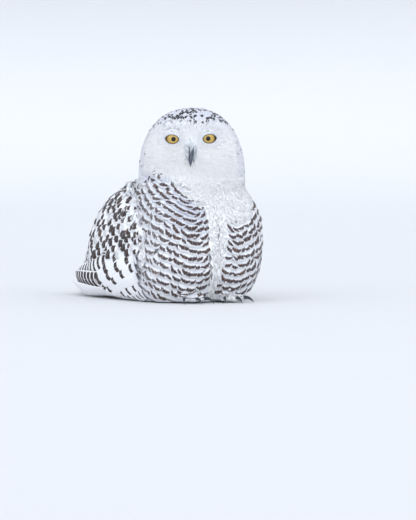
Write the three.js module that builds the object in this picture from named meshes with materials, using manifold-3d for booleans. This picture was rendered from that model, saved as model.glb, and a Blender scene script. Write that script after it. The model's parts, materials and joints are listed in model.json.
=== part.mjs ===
// A life-size snowy owl, at rest on its belly with its feet tucked under and its head turned to
// its right. Millimetres, +Z up. The bird's body faces -Y, its right side is -X, the floor is Z = 0.
// The solids reach out to the tips of the feathers.
import * as THREE from "three";
import { mergeVertices } from "three/addons/utils/BufferGeometryUtils.js";
import Module from "manifold-3d";

const wasm = await Module();
wasm.setup();

// ---- Driving dimensions ----

const GAP = 0.35; // how far a piece stays from the neighbour that it meets
const FLOOR_HALF = 900; // half the side of the block that trims what is under the floor

const TRUNK = {
  chest: -90, // foremost point of the breast
  rump: 336, // rearmost point of the body, over the tail's root
  widest: -38, // where the body is widest
  halfWidth: 111,
  crest: 248, // highest point, inside the neck
  crestAt: 60,
  keel: -62, // the belly's curve would end here, but rests on the floor
  keelAt: -2,
  noseLevel: 108, // height of the widest level at the breast
  tailLevel: 30, // and at the rump
  round: 2.8, // squareness of the cross-section
  tuck: 0.15, // share by which the belly draws in at the floor
  tuckLevel: 84, // and the height from which it does
  // How full the body stays towards each end, as powers of a superellipse.
  ahead: { half: [2, 2], up: [1.9, 1.9], down: [2.5, 2.5] },
  behind: { half: [1.55, 2.4], up: [1, 1.4], down: [2, 1.3] },
};

const HEAD = {
  centre: [4, 22, 220],
  turn: -27, // degrees to the bird's right
  roll: -0.8, // degrees
  halfWidth: 93,
  crown: 118.5, // centre to the top of the head
  chin: 118.5, // centre to the bottom of the same curve, inside the neck
  face: 71, // centre to the face
  nape: 80, // centre to the back of the head
  round: 2.25, // squareness of the outline seen from the front
  flat: 2.7, // squareness of the face, 2 is a plain ellipsoid
};

const NECK = {
  centre: [2, 18, 190],
  halfWidth: 98,
  halfDepth: 80,
  halfHeight: 80,
  top: 206, // height at which the head ends, above the neck's centre
  foot: 184, // height at which the trunk ends
  tilt: 14, // degrees by which both lines rise to the back
};

const EYE = { radius: 15, apart: 62, middle: -1.5, level: 65.5, sunk: 48, socket: 6.5, socketSpread: 18 };

const BILL = {
  root: [-1.5, -66, 48], // from the head's centre
  pitch: -14, // degrees the root looks down
  // Each half: its size, the degrees it hooks from root to tip, and how far below the root it starts.
  upper: { length: 40, width: 16, height: 17, hook: 92, drop: 0 },
  lower: { length: 19, width: 11, height: 7, hook: 40, drop: 13 },
  // The raised strip of face that carries the bill: its height, half its width and length, and its level.
  ridge: 5,
  ridgeWide: 12,
  ridgeLong: 22,
  ridgeLevel: 34,
};

const HORN_TIP = 0.04; // a horn's width at its tip, as a share of its root's

// The folded wings lie on this outer form. Each row is a station along the back.
const CLOAK = {
  halfWidth: [[-40, 112], [40, 121], [110, 124], [190, 112], [270, 86], [340, 61], [402, 44]],
  top: [[-40, 192], [40, 230], [100, 225], [160, 212], [230, 169], [300, 112], [360, 60], [402, 22]],
  level: [[-40, 108], [60, 102], [150, 84], [230, 60], [300, 36], [402, 10]],
  keel: [[-40, -40], [150, -38], [230, -22], [300, -8], [402, -2]],
  round: 2.35,
};

const WING = {
  coverts: { from: [-46, 6], to: [206, 14], across: 236, thick: 22, inset: 0, blunt: 3.2 },
  secondaries: { count: 5, roots: [60, 68, -28], tips: [268, 306, 74, -4], across: 64, thick: 14, inset: 3 },
  primaries: { count: 5, roots: [150, 4, -48], tips: [396, 316, 30, -34], across: 36, thick: 9, inset: 6 },
  step: 0.7, // how far each feather of a fan lies under the one above it
  // How much further the right wing is held from the body, where along it, and over what length.
  flare: 8,
  flareAt: 190,
  flareLength: 110,
};

const TAIL = {
  feathers: 6,
  root: [0, 206, 40],
  tip: 408,
  spread: 3, // degrees between neighbours
  swing: -1.5, // degrees the whole tail is turned to the bird's right
  across: 30,
  thick: 7,
  step: 1.3, // how far each feather lies over the next
  rootWidth: 0.62, // a feather's width and depth at its root, as shares of those at its tip
  rootDepth: 1.9,
};

const FOOT = {
  apart: 74,
  ankle: [-30, 17], // Y and Z
  heel: [42, 19],
  shank: 17, // radius at the heel
  ankleRadius: 14.6,
  toeLength: 47,
  toeRadius: 9,
  toeTip: 7.3, // radius at the claw
  // Each toe's name, its turn from straight ahead in degrees and its share of the length.
  toes: [["inner", -22, 1], ["middle", 2, 1.08], ["outer", 27, 1], ["back", 172, 0.6]],
  clawLength: 25,
  clawRadius: 3.3,
  clawDeep: 1.15, // how much deeper than wide a claw is
  clawHook: 72,
  clawPitch: 14,
};

const COLOURS = {
  white: 0xeef1f6,
  barred: 0xb9b4b4,
  wing: 0xa79f9c,
  iris: 0xd9a72f,
  horn: 0x2a2d33,
};

const SIDES = [["right", -1], ["left", 1]];

// ---- Helpers ----

const { degToRad, radToDeg, lerp, clamp, smoothstep } = THREE.MathUtils;

/** The height of a quarter of a superellipse at q of its base, from 1 at 0 to 0 at 1. */
const quarter = (q, power, top = power) => Math.max(0, 1 - clamp(q, 0, 1) ** power) ** (1 / top);

/** A number raised to a power with its sign kept. */
const signed = (value, power) => Math.sign(value) * Math.abs(value) ** power;

/** Reads a smooth curve through stations [at, value], and holds its ends. */
function along(stations, at) {
  const last = stations.length - 1;
  if (at <= stations[0][0]) return stations[0][1];
  if (at >= stations[last][0]) return stations[last][1];
  const i = stations.findIndex(([y]) => y > at) - 1;
  const slope = (k) => {
    const a = stations[Math.max(0, k - 1)];
    const b = stations[Math.min(last, k + 1)];
    return (b[1] - a[1]) / (b[0] - a[0]);
  };
  const span = stations[i + 1][0] - stations[i][0];
  const t = (at - stations[i][0]) / span;
  const ease = t * t * (3 - 2 * t);
  const bend = (t ** 3 - 2 * t ** 2 + t) * slope(i) + (t ** 3 - t ** 2) * slope(i + 1);
  return lerp(stations[i][1], stations[i + 1][1], ease) + span * bend;
}

/** A closed geometry as a solid that can be joined and cut. */
function solid(geometry) {
  const bare = geometry.clone();
  for (const name of ["normal", "uv"]) bare.deleteAttribute(name);
  const merged = mergeVertices(bare, 1e-3);
  return new wasm.Manifold(
    new wasm.Mesh({
      numProp: 3,
      vertProperties: new Float32Array(merged.attributes.position.array),
      triVerts: new Uint32Array(merged.index.array),
    }),
  );
}

/** A solid back as a geometry. */
function geometryOf(made) {
  const mesh = made.getMesh();
  const places = new Float32Array(mesh.numVert * 3);
  for (let i = 0; i < mesh.numVert; i++) {
    places.set(mesh.vertProperties.subarray(i * mesh.numProp, i * mesh.numProp + 3), i * 3);
  }
  const geometry = new THREE.BufferGeometry();
  geometry.setAttribute("position", new THREE.BufferAttribute(places, 3));
  geometry.setIndex(new THREE.BufferAttribute(new Uint32Array(mesh.triVerts), 1));
  geometry.computeVertexNormals();
  return geometry;
}

const join = (solids) => solids.reduce((all, one) => all.add(one));
const largest = (made) => made.decompose().sort((a, b) => b.volume() - a.volume())[0];

/** What is left of a solid outside its neighbours. Each is a form: a function of how much wider it is. */
const cutBy = (made, forms) => largest(forms.reduce((left, form) => left.subtract(form(GAP)), made));

/** A unit sphere whose points are moved by a function of their direction. */
function shaped(around, rings, place) {
  const geometry = new THREE.SphereGeometry(1, around, rings);
  const points = geometry.attributes.position;
  const at = new THREE.Vector3();
  for (let i = 0; i < points.count; i++) {
    at.copy(place(at.fromBufferAttribute(points, i)));
    points.setXYZ(i, at.x, at.y, at.z);
  }
  return geometry;
}

/** A block that reaches up from a height, tilted about the X axis, to keep what is above it. */
function above(height, tilt = 0, hinge = 0) {
  const block = new THREE.BoxGeometry(2 * FLOOR_HALF, 2 * FLOOR_HALF, 2 * FLOOR_HALF);
  block.translate(0, 0, FLOOR_HALF).rotateX(degToRad(tilt)).translate(0, hinge, height);
  return solid(block);
}

/** An ellipsoid about a centre. */
function ellipsoid([x, y, z], a, b, c, around = 28, rings = 20) {
  return shaped(around, rings, (p) => p.set(x + a * p.x, y - b * p.z, z + c * p.y));
}

/** A round bar with round ends between two points, thinner or thicker at its far end. */
function bar(from, to, radius, farRadius = radius, around = 12, rings = 10) {
  const start = new THREE.Vector3(...from);
  const axis = new THREE.Vector3(...to).sub(start);
  const pole = new THREE.Vector3(0, 1, 0);
  const turn = new THREE.Quaternion().setFromUnitVectors(pole, axis.clone().normalize());
  return shaped(around, rings, (p) => {
    const share = (1 + p.y) / 2;
    const wide = lerp(radius, farRadius, share) * quarter(Math.abs(p.y), 3.4);
    const flat = Math.hypot(p.x, p.z) || 1;
    const length = axis.length() + radius + farRadius;
    const local = new THREE.Vector3((wide * p.x) / flat, share * length - radius, (wide * p.z) / flat);
    return p.copy(local.applyQuaternion(turn).add(start));
  });
}

/** A horn that tapers to a point along an arc: it starts along -Y and hooks down. */
function horn(length, width, height, hook, around = 10, rings = 7) {
  const bend = degToRad(hook);
  const geometry = new THREE.CylinderGeometry(1, 1, 1, around, rings);
  const points = geometry.attributes.position;
  for (let i = 0; i < points.count; i++) {
    const share = 0.5 - points.getY(i);
    const taper = lerp(HORN_TIP, 1, quarter(share, 1.5, 1.1));
    const turn = bend * share;
    const out = (points.getZ(i) * taper * height) / 2;
    const reach = length / bend;
    points.setXYZ(
      i,
      (points.getX(i) * taper * width) / 2,
      -(reach + out) * Math.sin(turn),
      (reach + out) * Math.cos(turn) - reach,
    );
  }
  return geometry;
}

// ---- Outer forms ----

/** Widest level, half-width, and rise and fall from that level, of the body at a place along it. */
function trunkSection(y) {
  const { chest, rump, widest, crestAt, keelAt, halfWidth, crest, keel, noseLevel, tailLevel } = TRUNK;
  const level = lerp(noseLevel, tailLevel, smoothstep(y, chest, rump));
  const full = (name, centre) =>
    y < centre
      ? quarter((centre - y) / (centre - chest), ...TRUNK.ahead[name])
      : quarter((y - centre) / (rump - centre), ...TRUNK.behind[name]);
  return {
    level,
    half: halfWidth * full("half", widest),
    up: (crest - level) * full("up", crestAt),
    down: (level - keel) * full("down", keelAt),
  };
}

/** The trunk: a long rounded body that draws in a little where it meets the floor. */
function trunkForm(grow = 0) {
  const { chest, rump, round, tuck, tuckLevel } = TRUNK;
  const middle = (chest + rump) / 2;
  const geometry = shaped(28, 20, (p) => {
    const y = lerp(chest, rump, (1 + p.y) / 2);
    const { level, half, up, down } = trunkSection(y);
    const flat = Math.hypot(p.x, p.z) || 1;
    const side = signed(p.x / flat, 2 / round);
    const rise = signed(p.z / flat, 2 / round);
    const height = level + rise * ((rise > 0 ? up : down) + grow);
    const draw = 1 - tuck * ((tuckLevel - clamp(height, 0, tuckLevel)) / tuckLevel) ** 2;
    return p.set(side * (half + grow) * draw, middle + (y - middle) * draw + p.y * grow, height);
  });
  return solid(geometry);
}

/** The head with the upper neck: a dome with a flatter face, shallow eye hollows and a ridge at the bill. */
function headForm(grow = 0) {
  const names = ["halfWidth", "crown", "chin", "face", "nape"];
  const [halfWidth, crown, chin, face, nape] = names.map((name) => HEAD[name] + grow);
  return shaped(26, 18, (p) => {
    const dy = -p.z;
    const out = Math.min(1, Math.hypot(p.x, p.y));
    const turn = Math.atan2(p.y, p.x);
    const x = halfWidth * out * signed(Math.cos(turn), 2 / HEAD.round);
    const z = (p.y > 0 ? crown : chin) * out * signed(Math.sin(turn), 2 / HEAD.round);
    if (dy > -1e-4) return p.set(x, nape * Math.max(0, dy), z);
    const depth = quarter(out, HEAD.flat);
    let hollow = 0;
    for (const side of [-1, 1]) {
      const far = (x - EYE.middle - (side * EYE.apart) / 2) ** 2 + (z - EYE.level) ** 2;
      hollow += EYE.socket * Math.exp(-far / (2 * EYE.socketSpread ** 2));
    }
    const across = (x - EYE.middle) / BILL.ridgeWide;
    const upward = (z - BILL.ridgeLevel) / BILL.ridgeLong;
    const ridge = BILL.ridge * Math.exp(-(across ** 2 + upward ** 2) / 2);
    return p.set(x, depth * (hollow - ridge - face), z);
  });
}

/** A point on the wings' outer form: y along the back, angle in degrees up from the widest level. */
function cloakPoint(y, angle, inset, side) {
  const level = along(CLOAK.level, y);
  const flare = side < 0 ? WING.flare * Math.exp(-(((y - WING.flareAt) / WING.flareLength) ** 2)) : 0;
  const half = along(CLOAK.halfWidth, y) + flare - inset;
  const up = along(CLOAK.top, y) - level - inset;
  const down = level - along(CLOAK.keel, y) - inset;
  const power = 2 / CLOAK.round;
  const rise = signed(Math.sin(degToRad(angle)), power);
  return new THREE.Vector3(
    side * half * signed(Math.cos(degToRad(angle)), power),
    y,
    level + rise * (rise > 0 ? up : down),
  );
}

/** A layer of feathers on the wings' outer form, from one place to another: [y, angle] each. */
function cloakLayer({ from, to, across, thick, inset, blunt = 2.4 }, side, grow, around = 6, rings = 7) {
  const mirrored = shaped(around, rings, (p) => {
    const share = (1 + p.y) / 2;
    const y = lerp(from[0] - grow, to[0] + grow, share);
    const middle = lerp(from[1], to[1], share);
    const round = Math.hypot(p.x, p.z) || 1;
    const width = quarter(Math.abs(p.y), blunt);
    const reach = along(CLOAK.halfWidth, y) * 0.6 + (along(CLOAK.top, y) - along(CLOAK.level, y)) * 0.4;
    const angle = middle + (radToDeg((across / 2 + grow) / reach) * width * p.z) / round;
    const half = thick / 2;
    const depth = half - (half + grow) * signed(p.x / round, 0.6) * quarter(Math.abs(p.y), 4);
    return p.copy(cloakPoint(y, angle, inset + depth, side));
  });
  return side > 0 ? mirrored : turnedRight(mirrored);
}

/** A geometry with each face turned round, for a form that was mirrored. */
function turnedRight(geometry) {
  const index = geometry.index.array;
  for (let i = 0; i < index.length; i += 3) [index[i + 1], index[i + 2]] = [index[i + 2], index[i + 1]];
  return geometry;
}

/** A fan of long feathers on one wing: roots and tips run from the upper feather to the lower. */
function wingFan({ count, roots, tips, across, thick, inset }, side, grow) {
  const [rootY, rootHigh, rootLow] = roots;
  const [tipY, lastTipY, tipHigh, tipLow] = tips;
  const feathers = [];
  for (let i = 0; i < count; i++) {
    const share = i / (count - 1);
    const from = [rootY, lerp(rootHigh, rootLow, share)];
    const to = [lerp(tipY, lastTipY, share), lerp(tipHigh, tipLow, share)];
    feathers.push(solid(cloakLayer({ from, to, across, thick, inset: inset + WING.step * i }, side, grow)));
  }
  return join(feathers);
}

// ---- Sub-parts ----

/** The forms of one wing's three layers, outermost first. */
const wingForms = (side) => ({
  coverts: (grow = 0) => solid(cloakLayer(WING.coverts, side, grow, 20, 10)),
  secondaries: (grow = 0) => wingFan(WING.secondaries, side, grow),
  primaries: (grow = 0) => wingFan(WING.primaries, side, grow),
});

/** The tail: a fan of feathers, each a little lower than its neighbour nearer the middle. */
function tailForm(grow = 0) {
  const { feathers, root, tip, spread, swing, across, thick, step, rootWidth, rootDepth } = TAIL;
  const made = [];
  for (let i = 0; i < feathers; i++) {
    const place = i - (feathers - 1) / 2;
    const turn = degToRad(swing + place * spread);
    const length = tip - root[1];
    const drop = Math.atan2(root[2] - thick, length);
    const feather = shaped(6, 7, (p) => {
      const share = (1 + p.y) / 2;
      const round = Math.hypot(p.x, p.z) || 1;
      const half = (across / 2 + grow) * quarter(Math.abs(p.y), 3) * lerp(rootWidth, 1, share);
      const deep = (thick / 2 + grow) * quarter(Math.abs(p.y), 4) * lerp(rootDepth, 1, share);
      const fall = Math.abs(place) * step;
      return p.set((half * p.x) / round, share * (length + 2 * grow) - grow, (deep * p.z) / round - fall);
    });
    made.push(solid(feather.rotateX(-drop).rotateZ(-turn).translate(...root)));
  }
  return join(made);
}

/** One folded leg: a feathered shank along the floor, three toes forward and one back. */
function legForm(side, grow = 0) {
  const { apart, ankle, heel, shank, ankleRadius, toeRadius, toeTip } = FOOT;
  const x = (side * apart) / 2;
  const shin = bar([x, ...heel], [x, ...ankle], shank + grow, ankleRadius + grow, 8, 4);
  const toe = ({ start, end }) => bar(start, end, toeRadius + grow, toeTip + grow, 6, 4);
  return join([shin, ...toePlaces(side).map(toe)].map(solid));
}

/** Where each toe of a foot starts and ends, and how far it is turned from straight ahead. */
function toePlaces(side) {
  const { apart, ankle, toeLength, toeRadius, toeTip, toes } = FOOT;
  const x = (side * apart) / 2;
  return toes.map(([name, degrees, share]) => {
    const angle = degToRad(side * degrees);
    const length = share * toeLength;
    const start = [x, ankle[0], toeRadius];
    const end = [x + length * Math.sin(angle), ankle[0] - length * Math.cos(angle), toeTip];
    return { name, start, end, angle };
  });
}

/** The form of one claw, at the end of its toe. */
function clawForm({ end, angle }, grow = 0) {
  const { clawLength, clawRadius, clawDeep, clawHook, clawPitch } = FOOT;
  const width = 2 * (clawRadius + grow);
  const claw = horn(clawLength + 3 * grow, width, clawDeep * width, clawHook, 6, 5);
  claw.rotateX(degToRad(-clawPitch)).translate(0, grow, 0).rotateZ(angle);
  return solid(claw.translate(end[0], end[1], end[2] + clawRadius / 2));
}

// ---- Assembly ----

/** Moves a geometry from the head's own frame to its place on the body, and makes it a solid. */
const onHead = (geometry) =>
  solid(geometry.rotateY(degToRad(HEAD.roll)).rotateZ(degToRad(HEAD.turn)).translate(...HEAD.centre));

/** The forms of the eyes and the bill. */
function faceForms() {
  const eye = (side) => (grow = 0) => {
    const radius = EYE.radius + grow;
    const centre = [EYE.middle + (side * EYE.apart) / 2, -EYE.sunk, EYE.level];
    return onHead(ellipsoid(centre, radius, radius, radius, 10, 8));
  };
  const [x, y, z] = BILL.root;
  const bill = (half, around, rings) => (grow = 0) => {
    const { length, width, height, hook, drop } = half;
    const made = horn(length + 3 * grow, width + 2 * grow, height + 2 * grow, hook, around, rings);
    return onHead(made.rotateX(degToRad(-BILL.pitch)).translate(x, y + grow, z - drop));
  };
  return {
    eye_right: eye(-1),
    eye_left: eye(1),
    bill_upper: bill(BILL.upper, 10, 7),
    bill_lower: bill(BILL.lower, 6, 5),
  };
}

/** The forms of the legs, and of the claws by name. */
function footForms() {
  const legs = {};
  const claws = {};
  for (const [name, side] of SIDES) {
    legs[`leg_${name}`] = (grow = 0) => legForm(side, grow);
    toePlaces(side).forEach((toe) => {
      claws[`claw_${name}_${toe.name}`] = (grow = 0) => clawForm(toe, grow);
    });
  }
  return { legs, claws };
}

/** The forms that the body is joined from. */
function bodyForms() {
  const { centre, halfWidth, halfDepth, halfHeight } = NECK;
  return {
    trunk: trunkForm,
    neck: (grow) => solid(ellipsoid(centre, halfWidth + grow, halfDepth + grow, halfHeight + grow, 20, 12)),
    head: (grow) => onHead(headForm(grow)),
  };
}

/** What lies above one of the lines that part the head, the neck and the trunk. */
const neckCut = (height) => above(height, NECK.tilt, NECK.centre[1]);

/** All solids by name, cut so that no two overlap. Each piece gives way to the ones made before it. */
function makeSolids() {
  const floor = above(0);
  const onFloor = (form) => form().intersect(floor);
  const named = {};

  const face = faceForms();
  for (const [name, form] of Object.entries(face)) {
    named[name] = name === "bill_lower" ? cutBy(form(), [face.bill_upper]) : form();
  }
  const { legs, claws } = footForms();
  for (const [name, form] of Object.entries(claws)) named[name] = onFloor(form);
  for (const [name, form] of Object.entries(legs)) named[name] = cutBy(onFloor(form), Object.values(claws));

  const { head, neck, trunk } = bodyForms();
  const whole = (grow = 0) => join([trunk, neck, head].map((form) => form(grow)));
  const headLine = (grow = 0) => neckCut(NECK.top - grow);
  const footLine = (grow = 0) => neckCut(NECK.foot - grow);
  const limbs = [...Object.values(legs), ...Object.values(claws)];
  named.head = cutBy(whole().intersect(headLine()), Object.values(face));
  named.neck = cutBy(whole().intersect(footLine()), [headLine]);
  named.trunk = cutBy(onFloor(whole), [footLine, ...limbs]);

  const wings = [];
  for (const [name, side] of SIDES) {
    const own = [];
    for (const [layer, form] of Object.entries(wingForms(side))) {
      named[`wing_${name}_${layer}`] = cutBy(onFloor(form), [whole, ...own, ...wings]);
      own.push(form);
    }
    wings.push(...own);
  }
  named.tail = cutBy(onFloor(tailForm), [whole, ...wings]);
  return named;
}

/** The finish of a node, by its name. */
function finishOf(name) {
  const finish = (color, roughness) => new THREE.MeshStandardMaterial({ color, roughness, metalness: 0 });
  if (name.startsWith("eye")) return finish(COLOURS.iris, 0.1);
  if (name.startsWith("bill") || name.startsWith("claw")) return finish(COLOURS.horn, 0.4);
  if (name.startsWith("wing") || name === "tail") return finish(COLOURS.wing, 0.9);
  return finish(name === "trunk" ? COLOURS.barred : COLOURS.white, 0.95);
}

/** The whole owl, moved so that the middle of its footprint is the origin. */
function makeOwl() {
  const owl = new THREE.Group();
  for (const [name, made] of Object.entries(makeSolids())) {
    const mesh = new THREE.Mesh(geometryOf(made), finishOf(name));
    mesh.name = name;
    owl.add(mesh);
  }
  const box = new THREE.Box3().setFromObject(owl);
  const middle = box.getCenter(new THREE.Vector3());
  owl.position.set(-middle.x, -middle.y, -box.min.z);
  return owl;
}

export default makeOwl();
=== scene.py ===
"""Snowy owl resting on its belly: skin, plumage, eyes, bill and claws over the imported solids.

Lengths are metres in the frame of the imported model: +Z is up, the tail points to +Y and the
bird's right side is towards -X. The head is turned to the bird's right. Every feather is a thin
closed vane, laid along a spine that is traced over the outline of the solids.
"""

import json
import logging
import math
from collections.abc import Callable
from dataclasses import dataclass, replace
from enum import Enum

import bmesh
import bpy
import numpy as np
from mathutils import Matrix, Vector
from mathutils.bvhtree import BVHTree

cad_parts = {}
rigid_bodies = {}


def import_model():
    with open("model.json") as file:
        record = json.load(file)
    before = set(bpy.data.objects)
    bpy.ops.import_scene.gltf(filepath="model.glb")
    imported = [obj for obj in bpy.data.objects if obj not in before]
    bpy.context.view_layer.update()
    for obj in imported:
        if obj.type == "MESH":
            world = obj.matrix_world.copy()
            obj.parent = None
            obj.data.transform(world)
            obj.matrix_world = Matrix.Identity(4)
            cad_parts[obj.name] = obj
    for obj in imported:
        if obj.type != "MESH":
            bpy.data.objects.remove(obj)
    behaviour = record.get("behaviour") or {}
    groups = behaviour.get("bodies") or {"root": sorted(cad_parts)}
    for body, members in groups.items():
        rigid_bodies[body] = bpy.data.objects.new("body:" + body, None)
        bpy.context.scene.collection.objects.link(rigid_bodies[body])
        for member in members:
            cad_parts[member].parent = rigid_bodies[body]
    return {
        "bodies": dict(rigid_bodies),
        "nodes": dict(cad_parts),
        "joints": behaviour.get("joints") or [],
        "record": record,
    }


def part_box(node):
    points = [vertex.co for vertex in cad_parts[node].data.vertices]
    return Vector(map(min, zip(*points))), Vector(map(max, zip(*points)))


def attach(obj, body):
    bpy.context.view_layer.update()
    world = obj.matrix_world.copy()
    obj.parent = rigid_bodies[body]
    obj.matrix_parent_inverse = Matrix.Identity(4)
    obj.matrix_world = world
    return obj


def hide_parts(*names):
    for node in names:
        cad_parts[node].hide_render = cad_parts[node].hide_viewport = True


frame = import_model()

log = logging.getLogger("snowy_owl")

Array = np.ndarray
Form = bmesh.types.BMesh
Edge = tuple[int, int]

MM = 0.001
WELD = 1e-6
SWELL = 0.5 * MM
PRESSED = 3 * MM
BEFORE_FACE = 60 * MM
DOWNWARD = (0.0, 0.0, -1.0)
WAVE = 6.28
MOST_TRIANGLES = 190_000
BAKE_MAP = "OFBake"
VANE_MAP = "vane"
MARKS = "marks"


class Slot(Enum):
    """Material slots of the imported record."""

    WHITE = "coat_white"
    BARRED = "coat_barred"
    WING = "coat_wing"
    FLIGHT = "flight_feathers"
    SKIN = "skin"
    LID = "lid"
    EYE = "eye"
    HORN = "horn"


class Side(Enum):
    """The bird's own right and left, with the sign of X on that side."""

    RIGHT = -1
    LEFT = 1

    def of(self, pattern: str) -> str:
        """A name with the side's word in place of its braces."""
        return pattern.format(self.name.lower())


# ---------------------------------------------------------------- small helpers


def unit(vectors: Array) -> Array:
    """Scales vectors to length one."""
    return vectors / np.maximum(np.linalg.norm(vectors, axis=-1, keepdims=True), 1e-12)


def across(vectors: Array, normals: Array) -> Array:
    """Unit directions with no part along the normals."""
    return unit(vectors - normals * (vectors * normals).sum(-1, keepdims=True))


def rise(values: Array, low: float, high: float) -> Array:
    """Smooth step from 0 at low to 1 at high, or falling where low is the greater."""
    share = np.clip((np.asarray(values, float) - low) / (high - low), 0.0, 1.0)
    return share * share * (3.0 - 2.0 * share)


def ramp(values: Array, low: float, high: float) -> Array:
    """The same smooth step, with its two ends in millimetres."""
    return rise(values, low * MM, high * MM)


def mound(values: Array, centre: float, width: float) -> Array:
    """Bell curve of height 1, which falls to about a third at its width from the centre."""
    return np.exp(-(((np.asarray(values, float) - centre) / width) ** 2))


def kept(keep: Array, *tables: Array) -> list[Array]:
    """The same rows of several tables."""
    return [table[keep] for table in tables]


def resampled(ticks: Array, marks: Array, line: Array) -> Array:
    """Points of a line at new ticks, where its own points stand at the marks."""
    return np.stack([np.interp(ticks, marks, line[:, k]) for k in range(3)], 1)


def evened(line: Array) -> Array:
    """Takes small steps out of a line, keeping its ends.

    Args:
        line: its points, in order.

    Returns:
        The line with its steps evened.
    """
    for _ in range(3):
        line = np.concatenate([line[:1], (line[:-2] + 2 * line[1:-1] + line[2:]) / 4, line[-1:]])
    return line


def strewn(places: Array, size: Array | float) -> Array:
    """Places on the unwrap that repeat over the surface every so many metres."""
    return 0.02 + 0.96 * ((places / size) % 1.0)


def slope(height: Callable[[Array], Array], points: Array, normals: Array) -> Array:
    """Steepest way up a function of place, along the surface that has these normals."""
    change = [height(points + axis) - height(points - axis) for axis in np.eye(3) * MM]
    return across(np.stack(change, 1), normals)


def middle(node: str) -> Array:
    """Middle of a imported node's box."""
    low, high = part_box(node)
    return (np.array(low) + np.array(high)) / 2


def read(items: bpy.types.bpy_prop_collection, key: str, width: int, kind: type) -> Array:
    """Reads one property of many items.

    Args:
        items: a mesh's vertices, loops or triangles.
        key: the property's name.
        width: how many numbers each item has.
        kind: the numbers' type in the mesh.

    Returns:
        A row for each item.
    """
    found = np.empty(len(items) * width, kind)
    items.foreach_get(key, found)
    return found.reshape(-1, width)


def copied(node: str) -> Form:
    """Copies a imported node's form, with its faces joined at their corners.

    Args:
        node: its name.

    Returns:
        The form.
    """
    form = bmesh.new()
    form.from_mesh(frame["nodes"][node].data)
    bmesh.ops.remove_doubles(form, verts=form.verts, dist=WELD)
    return form


def shade_smooth(mesh: bpy.types.Mesh) -> None:
    """Marks every face of a mesh as smooth."""
    mesh.polygons.foreach_set("use_smooth", np.ones(len(mesh.polygons), bool))


def meshed(form: Form, name: str) -> bpy.types.Mesh:
    """Turns a form into a smooth mesh.

    Args:
        form: the form, which is freed.
        name: the mesh's name.

    Returns:
        The mesh.
    """
    mesh = bpy.data.meshes.new(name)
    form.to_mesh(mesh)
    form.free()
    shade_smooth(mesh)
    return mesh


def write_marks(mesh: bpy.types.Mesh, *columns: Array) -> None:
    """Writes how dark, how grey and which one each vertex's feather is; the grey is partly painted
    shade.

    Args:
        mesh: the mesh they are written to.
        *columns: one number for each vertex, in that order.
    """
    table = np.stack([*columns, np.ones(len(columns[0]))], 1).astype(np.float32)
    colours = mesh.color_attributes.new(name=MARKS, type="FLOAT_COLOR", domain="POINT")
    colours.data.foreach_set("color", table.ravel())


def link(
    name: str, data: bpy.types.ID, finish: bpy.types.Material | None = None
) -> bpy.types.Object:
    """Makes an object and puts it in the scene.

    Args:
        name: the object's name.
        data: its mesh, light or camera.
        finish: the material that a mesh wears.

    Returns:
        The new object, at the origin.
    """
    made = bpy.data.objects.new(name, data)
    bpy.context.scene.collection.objects.link(made)
    if finish:
        data.materials.clear()
        data.materials.append(finish)
    return made


def refine(piece: bpy.types.Object, levels: int) -> None:
    """Rounds a piece off with finer faces."""
    finer = piece.modifiers.new("finer", "SUBSURF")
    finer.levels = finer.render_levels = levels


def settle(piece: bpy.types.Object, slot: Slot, *nodes: str) -> None:
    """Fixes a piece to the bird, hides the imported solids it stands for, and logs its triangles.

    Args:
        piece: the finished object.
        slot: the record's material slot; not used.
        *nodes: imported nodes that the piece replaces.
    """
    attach(piece, "root")
    if nodes:
        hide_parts(*nodes)
    piece.data.calc_loop_triangles()
    log.info("%s: %d triangles", piece.name, len(piece.data.loop_triangles))


# ---------------------------------------------------------------- places on the bird


@dataclass(frozen=True)
class Anatomy:
    """Places that the plumage is measured from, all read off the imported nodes."""

    head_half_height: float = 118.5 * MM
    throat_under_crown: float = 83 * MM
    throat_behind_chest: float = 30 * MM

    @property
    def eye_line(self) -> Array:
        """Unit vector from the right eye to the left one.

        Returns:
            The vector, level with the ground.
        """
        line = middle("eye_left") - middle("eye_right")
        line[2] = 0.0
        return unit(line)

    @property
    def gaze(self) -> Array:
        """Level unit vector that the face looks along."""
        side = self.eye_line
        return np.array([side[1], -side[0], 0.0])

    @property
    def head(self) -> Array:
        """Centre of the head's dome.

        Returns:
            The point.
        """
        centre = middle("head")
        centre[2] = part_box("head")[1][2] - self.head_half_height
        return centre

    @property
    def keel(self) -> float:
        """X of the bird's midline."""
        return float(middle("trunk")[0])

    @property
    def chest(self) -> float:
        """Y of the foremost point of the breast."""
        return float(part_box("trunk")[0][1])

    @property
    def throat(self) -> Array:
        """Point inside the throat that the rows of the body's plumage run round."""
        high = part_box("head")[1][2] - self.throat_under_crown
        return np.array([self.keel, self.chest + self.throat_behind_chest, high])

    def aside(self, points: Array) -> Array:
        """How far places are to the left of the midline."""
        return points[:, 0] - self.keel

    def back(self, points: Array) -> Array:
        """How far places are behind the foremost point of the breast."""
        return points[:, 1] - self.chest

    def face_place(self, points: Array) -> Array:
        """Distances to the bird's left, forward and up from the head's centre."""
        offset = points - self.head
        return np.stack([offset @ self.eye_line, offset @ self.gaze, offset[..., 2]], -1)


# ---------------------------------------------------------------- finishes


class Signal:
    """A value inside a material, which takes part in sums like a plain number."""

    def __init__(self, graph: "Graph", socket: bpy.types.NodeSocket) -> None:
        """Keeps the socket that gives the value, and the graph it is in."""
        self.graph, self.socket = graph, socket

    def __add__(self, other: object) -> "Signal":
        """Sum."""
        return self.graph.math("ADD", self, other)

    def __sub__(self, other: object) -> "Signal":
        """Difference."""
        return self.graph.math("SUBTRACT", self, other)

    def __mul__(self, other: object) -> "Signal":
        """Product."""
        return self.graph.math("MULTIPLY", self, other)


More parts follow.
